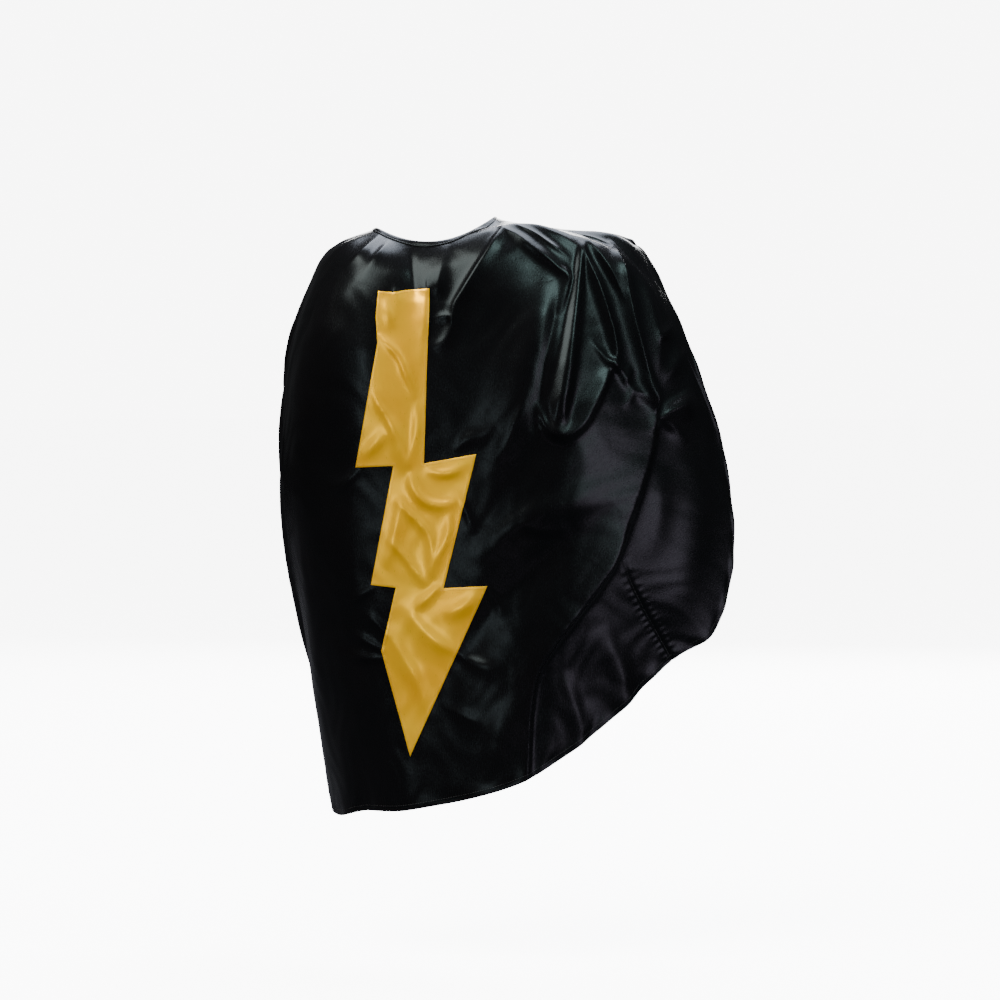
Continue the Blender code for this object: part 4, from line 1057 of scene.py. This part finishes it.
# %% [markdown]
# ## The neck
# A strip of satin cut on the bias folds over the raw neck edge and closes it. Behind it, between
# the shell and the lining, a band of interfacing keeps the neck from stretching. The binding is a
# profile swept round the neck: down the outside, over the top, and down the inside.

# %% Neck binding
BINDING_PROFILE = [
    (8.0, 0.35), (8.1, 0.75), (7.7, 1.0), (6.6, 0.92), (6.0, 0.84), (5.4, 0.94), (4.0, 1.05),
    (2.0, 1.1), (0.4, 1.0), (-0.6, 0.6), (-1.1, -0.2), (-1.1, -1.0), (-0.6, -1.9), (0.4, -2.4),
    (2.0, -2.6), (4.0, -2.6), (6.6, -2.5), (7.7, -2.45), (8.1, -2.2), (8.0, -1.9),
]
BINDING_WIDTH = 0.022
neck_line = surface[:, 0]
neck_down = surface[:, 4] - surface[:, 0]
neck_down /= np.linalg.norm(neck_down, axis=-1, keepdims=True)


def neck_at(depth):
    """Places and normals at a distance down from the neck edge, one for each column."""
    spots, outs = [], []
    for column in range(surface.shape[0]):
        along = distances_along(surface[column, :60])
        spots.append(read_along(depth, along, surface[column, :60]))
        outs.append(read_along(depth, along, normal[column, :60]))
    outs = np.array(outs)
    return np.array(spots), outs / np.linalg.norm(outs, axis=-1, keepdims=True)


sections = []
for down, out in BINDING_PROFILE:
    spots, outs = neck_at(max(down, 0.0) * MM)
    sections.append(spots + min(down, 0.0) * MM * neck_down + out * MM * outs)
places = np.stack(sections, axis=1)[:, ::-1]
neck_along = distances_along(neck_line)
folded_across = np.linspace(0.0, BINDING_WIDTH, len(sections))
pattern = np.stack(np.meshgrid(neck_along, folded_across, indexing="ij"), axis=-1)
binding = cloth_piece("neck_binding_satin", places[::2], pattern[::2], black_satin)
spots, outs = neck_at(3.0 * MM)
heart = spots - 0.8 * MM * outs
facing_out = 0
for polygon in binding.data.polygons:
    nearest = heart[np.argmin(np.linalg.norm(heart - np.array(polygon.center), axis=1))]
    facing_out += 1 if (polygon.center - Vector(nearest)).dot(polygon.normal) > 0 else -1
if facing_out < 0:
    binding.data.flip_normals()
print("the binding's faces pointed", "outwards" if facing_out > 0 else "inwards, so they were turned")
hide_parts("neck_binding")
spots, outs = neck_at(6.1 * MM)
rows = [(spots[2:-2] + 0.9 * MM * outs[2:-2], outs[2:-2])]
stitches("binding_stitches", rows, 2.4 * MM, 0.6 * MM, 0.2 * MM, black_thread)

# %% Interfacing
depths = np.linspace(1.0, 24.0, 8) * MM
sections = []
for depth in depths:
    spots, outs = neck_at(depth)
    sections.append(spots - 0.7 * MM * outs)
places = np.stack(sections, axis=1)[::4]
pattern = np.stack(np.meshgrid(neck_along[::4], depths, indexing="ij"), axis=-1)
band = cloth_piece("neck_interfacing_band", places, pattern, interfacing)
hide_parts("neck_interfacing")
print("the neck edge is", round(float(neck_along[-1]), 3), "m long")

# %% [markdown]
# ## The closure
# Two stiffened tabs overlap at the front. The upper one carries hooks underneath, and the lower one
# carries loops on top, so the cape pulls open if it is caught. A tab is two layers of satin, sewn
# right sides together and turned, so it is plump in the middle, thin at its sewn rim, and round at
# the corners.

# %% Places on the chest
def chest(angle, drop, out):
    """Places on the straight front, from pattern angle, distance from the neck edge and height."""
    angle, drop, out = np.broadcast_arrays(np.asarray(angle, float), drop, out)
    turn = np.radians(angle + NECK_TURN)
    around = np.stack([np.sin(turn), -np.cos(turn), np.zeros_like(turn)], axis=-1)
    down = around * math.cos(CHEST_SLOPE) - np.array([0.0, 0.0, math.sin(CHEST_SLOPE)])
    ahead = neck_ring(angle + 0.1) - neck_ring(angle - 0.1)
    up = np.cross(down, ahead)
    up /= np.linalg.norm(up, axis=-1, keepdims=True)
    up = np.where(np.sum(up * around, axis=-1, keepdims=True) < 0, -up, up)
    return neck_ring(angle) + drop[..., None] * down + out[..., None] * up, up


PER_DEGREE = float(np.linalg.norm(neck_ring(180.5) - neck_ring(179.5)))
TAB_TOP, TAB_BOTTOM = 0.5 * MM, 32 * MM


def tab(name, start, tip, layer, body, replaced):
    """A turned tab from the front edge at start to its round tip.

    layer gives the heights of its two sides by angle."""
    width = TAB_BOTTOM - TAB_TOP
    length = abs(tip - start) * PER_DEGREE
    across = crowd_ends(30, 1.5)
    along = crowd_ends(52, 1.6)
    s, t = np.meshgrid(along, across, indexing="ij")
    corner = 6 * MM
    from_side = np.minimum(t, 1 - t) * width
    dip = corner - np.sqrt(np.maximum(corner**2 - np.maximum(corner - from_side, 0.0) ** 2, 0.0))
    reach = (tip - start) - math.copysign(1.0, tip - start) * dip / PER_DEGREE
    angles = start + s * reach
    drops = TAB_TOP + t * width
    run = np.abs(reach) * PER_DEGREE
    rim = np.minimum(np.minimum(from_side, (1 - s) * run), s * run + 2 * MM)
    plump = np.sqrt(np.clip(1 - (1 - np.clip(rim / (1.6 * MM), 0, 1)) ** 2, 0, 1))
    plump = plump * (1.0 - 0.22 * np.exp(-((rim - 3 * MM) / (0.7 * MM)) ** 2))
    low, high = layer(angles)
    middle, half = (low + high) / 2, (high - low) / 2
    outer, _ = chest(angles, drops, middle + half * plump)
    inner, _ = chest(angles, drops, middle - half * plump)
    mesh_places = np.concatenate([outer, inner[:, ::-1]], axis=1)
    flat_across = np.concatenate([t * width, (2 - t[:, ::-1]) * width], axis=1)
    flat_along = np.concatenate([s, s], axis=1) * length
    pattern = np.stack([flat_along, flat_across], axis=-1)
    piece = cloth_piece(name, mesh_places, pattern, black_satin, body)
    close_up(piece, True)
    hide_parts(replaced)
    print(name, round(length / MM), "mm long,", len(piece.data.polygons), "faces")
    return piece


def over_layer(angle):
    """The over tab starts level with the front edge and rises over the tab beneath it."""
    rise = ease(angle, 153.0, 164.0)
    return (-1.1 + rise * 3.4) * MM, (0.1 + rise * 3.4) * MM


def under_layer(angle):
    """The under tab lies just inside the front edge's line."""
    return np.full_like(angle, -1.6 * MM), np.full_like(angle, -0.4 * MM)


tab("under_tab_satin", -151.0, -200.5, under_layer, "cape", "under_tab")
over = tab("over_tab_satin", 152.5, 204.0, over_layer, None, "closure_tab")

# %% Hook strip and loop strip
STRIP_TOP, STRIP_BOTTOM = 6 * MM, 26 * MM


def strip_base(name, start, end, low, high, material, body):
    """A flat strip of tape on the chest, with a thickness."""
    along, down = np.linspace(start, end, 30), np.linspace(STRIP_TOP, STRIP_BOTTOM, 16)
    angles, drops = np.meshgrid(along, down, indexing="ij")
    outer, _ = chest(angles, drops, np.full_like(angles, high))
    inner, _ = chest(angles, drops, np.full_like(angles, low))
    places = np.concatenate([outer, inner[:, ::-1], outer[:, :1]], axis=1)
    flat_along, flat_around = np.linspace(0, 0.037, 30), np.linspace(0, 0.04, places.shape[1])
    pattern = np.stack(np.meshgrid(flat_along, flat_around, indexing="ij"), axis=-1)
    piece = cloth_piece(name, places, pattern, material, body)
    close_up(piece, False)
    return piece


def bent_fibres(name, frames, height, reach, radius, curl, material, body):
    """Short bent fibres of four sides: each rises from its root and curls over ahead."""
    roots, ups, aheads = frames
    t = np.array([0.0, 0.45, 0.8, 1.0, 1.0])
    rise = height * np.array([0.0, 0.62, 0.95, 0.98, 1.0 - curl])
    lead = reach * np.array([0.0, 0.02, 0.22, 0.62, 1.0])
    thick = radius * np.array([1.1, 1.0, 0.95, 0.85, 0.6])
    sides = np.cross(ups, aheads)
    spine = roots[:, None] + rise[None, :, None] * ups[:, None] + lead[None, :, None] * aheads[:, None]
    turn = 2 * math.pi * (np.arange(4) + 0.5) / 4
    ring = np.cos(turn)[:, None] * sides[:, None] + np.sin(turn)[:, None] * aheads[:, None]
    corners = spine[:, :, None] + thick[None, :, None, None] * ring[:, None]
    faces = []
    for k in range(len(t) - 1):
        for j in range(4):
            a, b = k * 4 + j, k * 4 + (j + 1) % 4
            faces.append((a, b, b + 4, a + 4))
    faces += [(3, 2, 1, 0), (16, 17, 18, 19)]
    every = (np.array(faces)[None] + np.arange(len(roots))[:, None, None] * 20).reshape(-1, 4)
    piece = new_piece(name, corners, every.tolist(), material)
    face_outwards(piece.data)
    place_piece(piece, body)
    print(name, len(roots), "fibres")


def fibre_frames(angles, drops, height, inward):
    """Roots, ups and aheads for fibres on the chest. inward points them at the wearer."""
    roots, up = chest(angles, drops, np.full_like(angles, height))
    ahead = chest(angles + 0.5, drops, np.full_like(angles, height))[0] - roots
    ahead -= np.sum(ahead * up, axis=-1, keepdims=True) * up
    ahead /= np.linalg.norm(ahead, axis=-1, keepdims=True)
    return roots, -up if inward else up, ahead


base = strip_base("hook_tape", 166.0, 200.0, 1.75 * MM, 2.0 * MM, hook_nylon, "closure_flap")
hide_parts("hook_strip")
across, down = np.linspace(167.2, 198.8, 26), np.linspace(7.4, 24.6, 14) * MM
angles, drops = np.meshgrid(across, down, indexing="ij")
frames = fibre_frames(angles.ravel(), drops.ravel(), 1.78 * MM, True)
bent_fibres("hooks", frames, 0.62 * MM, 0.42 * MM, 0.12 * MM, 0.35, hook_nylon, "closure_flap")
base = strip_base("loop_tape", -194.0, -160.0, -0.1 * MM, 0.2 * MM, loop_nylon, "cape")
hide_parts("loop_strip")
LOOPS = 1500
rng = np.random.default_rng(7)
angles = rng.uniform(-193.3, -160.7, LOOPS)
drops = rng.uniform(6.6, 25.4, LOOPS) * MM
roots, ups, aheads = fibre_frames(angles, drops, 0.18 * MM, False)
turn = rng.uniform(0, 2 * math.pi, LOOPS)[:, None]
aheads = np.cos(turn) * aheads + np.sin(turn) * np.cross(ups, aheads)
frames = (roots, ups, aheads)
bent_fibres("loop_pile", frames, 0.55 * MM, 0.75 * MM, 0.07 * MM, 0.7, loop_nylon, "cape")

# %% Stitching on the tabs
BOX_TOP, BOX_BOTTOM = 7.5 * MM, 24.5 * MM


def box_rows(start, end, height, inward):
    """Four rows of stitches round a box on the chest."""
    corners = [(start, BOX_TOP), (end, BOX_TOP), (end, BOX_BOTTOM), (start, BOX_BOTTOM), (start, BOX_TOP)]
    rows = []
    for (a, b), (c, d) in zip(corners[:-1], corners[1:]):
        share = np.linspace(0, 1, 24)
        line, up = chest(a + share * (c - a), b + share * (d - b), np.full(24, height))
        rows.append((line, -up if inward else up))
    return rows


rows = box_rows(167.5, 198.5, 3.52 * MM, False)
piece = stitches("over_tab_box_stitches", rows, 2.2 * MM, 0.5 * MM, 0.2 * MM, black_thread, "closure_flap")
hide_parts("hook_strip_stitching")
rows = box_rows(-192.5, -161.5, -1.62 * MM, True)
piece = stitches("under_tab_box_stitches", rows, 2.2 * MM, 0.5 * MM, 0.2 * MM, black_thread)
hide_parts("loop_strip_stitching")

# %% Where the over tab leaves the front edge; its transform is baked into its mesh
start, _ = chest(153.0, 16 * MM, 0.0)
end, _ = chest(158.0, 16 * MM, 0.001)
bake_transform(over)
print("the tab turns between", np.round(start.ravel(), 3), "and", np.round(end.ravel(), 3))

# %% [markdown]
# ## The care label
# A woven label hangs inside the neck, a tape folded in half at its lower end with the cut ends sewn
# in at the top. It starts as a block, cut into rows, with its lower edge thinned and its selvedges
# raised a little.

# %% Care label
LABEL_TOP = Vector((-0.0227, -0.0498, -0.0195))
LABEL_WIDTH = 0.024
LABEL_LENGTH = 0.036
LABEL_THICKNESS = 0.0005
bpy.ops.object.select_all(action="DESELECT")
bpy.ops.mesh.primitive_cube_add(size=1.0, location=(0.0, 0.0, 0.0))
label = bpy.context.object
label.name = "care_label_tape"
label.scale = (LABEL_WIDTH, LABEL_THICKNESS, LABEL_LENGTH)
bpy.ops.object.transform_apply(location=False, rotation=False, scale=True)
bpy.ops.object.mode_set(mode="EDIT")
bpy.ops.mesh.select_all(action="SELECT")
bpy.ops.mesh.subdivide(number_cuts=11)
bpy.ops.object.mode_set(mode="OBJECT")
made = bmesh.new()
made.from_mesh(label.data)
for vert in made.verts:
    lower = ease(-vert.co.z, 0.0168, 0.018)
    selvedge = ease(abs(vert.co.x), 0.0095, 0.0112)
    vert.co.y *= 1.0 - 0.8 * float(lower)
    vert.co.y *= 1.0 + 0.25 * float(selvedge)
    vert.co.z -= LABEL_LENGTH / 2
made.to_mesh(label.data)
made.free()
label.data.polygons.foreach_set("use_smooth", np.ones(len(label.data.polygons), bool))
label.data.shade_smooth()
label.data.transform(Matrix.Translation(LABEL_TOP) @ Matrix.Rotation(math.radians(-14.5), 4, "Z"))
label.data.materials.append(label_tape)
place_piece(label, "label")
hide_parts("care_label")
print("the label hangs from", tuple(round(c, 3) for c in LABEL_TOP))
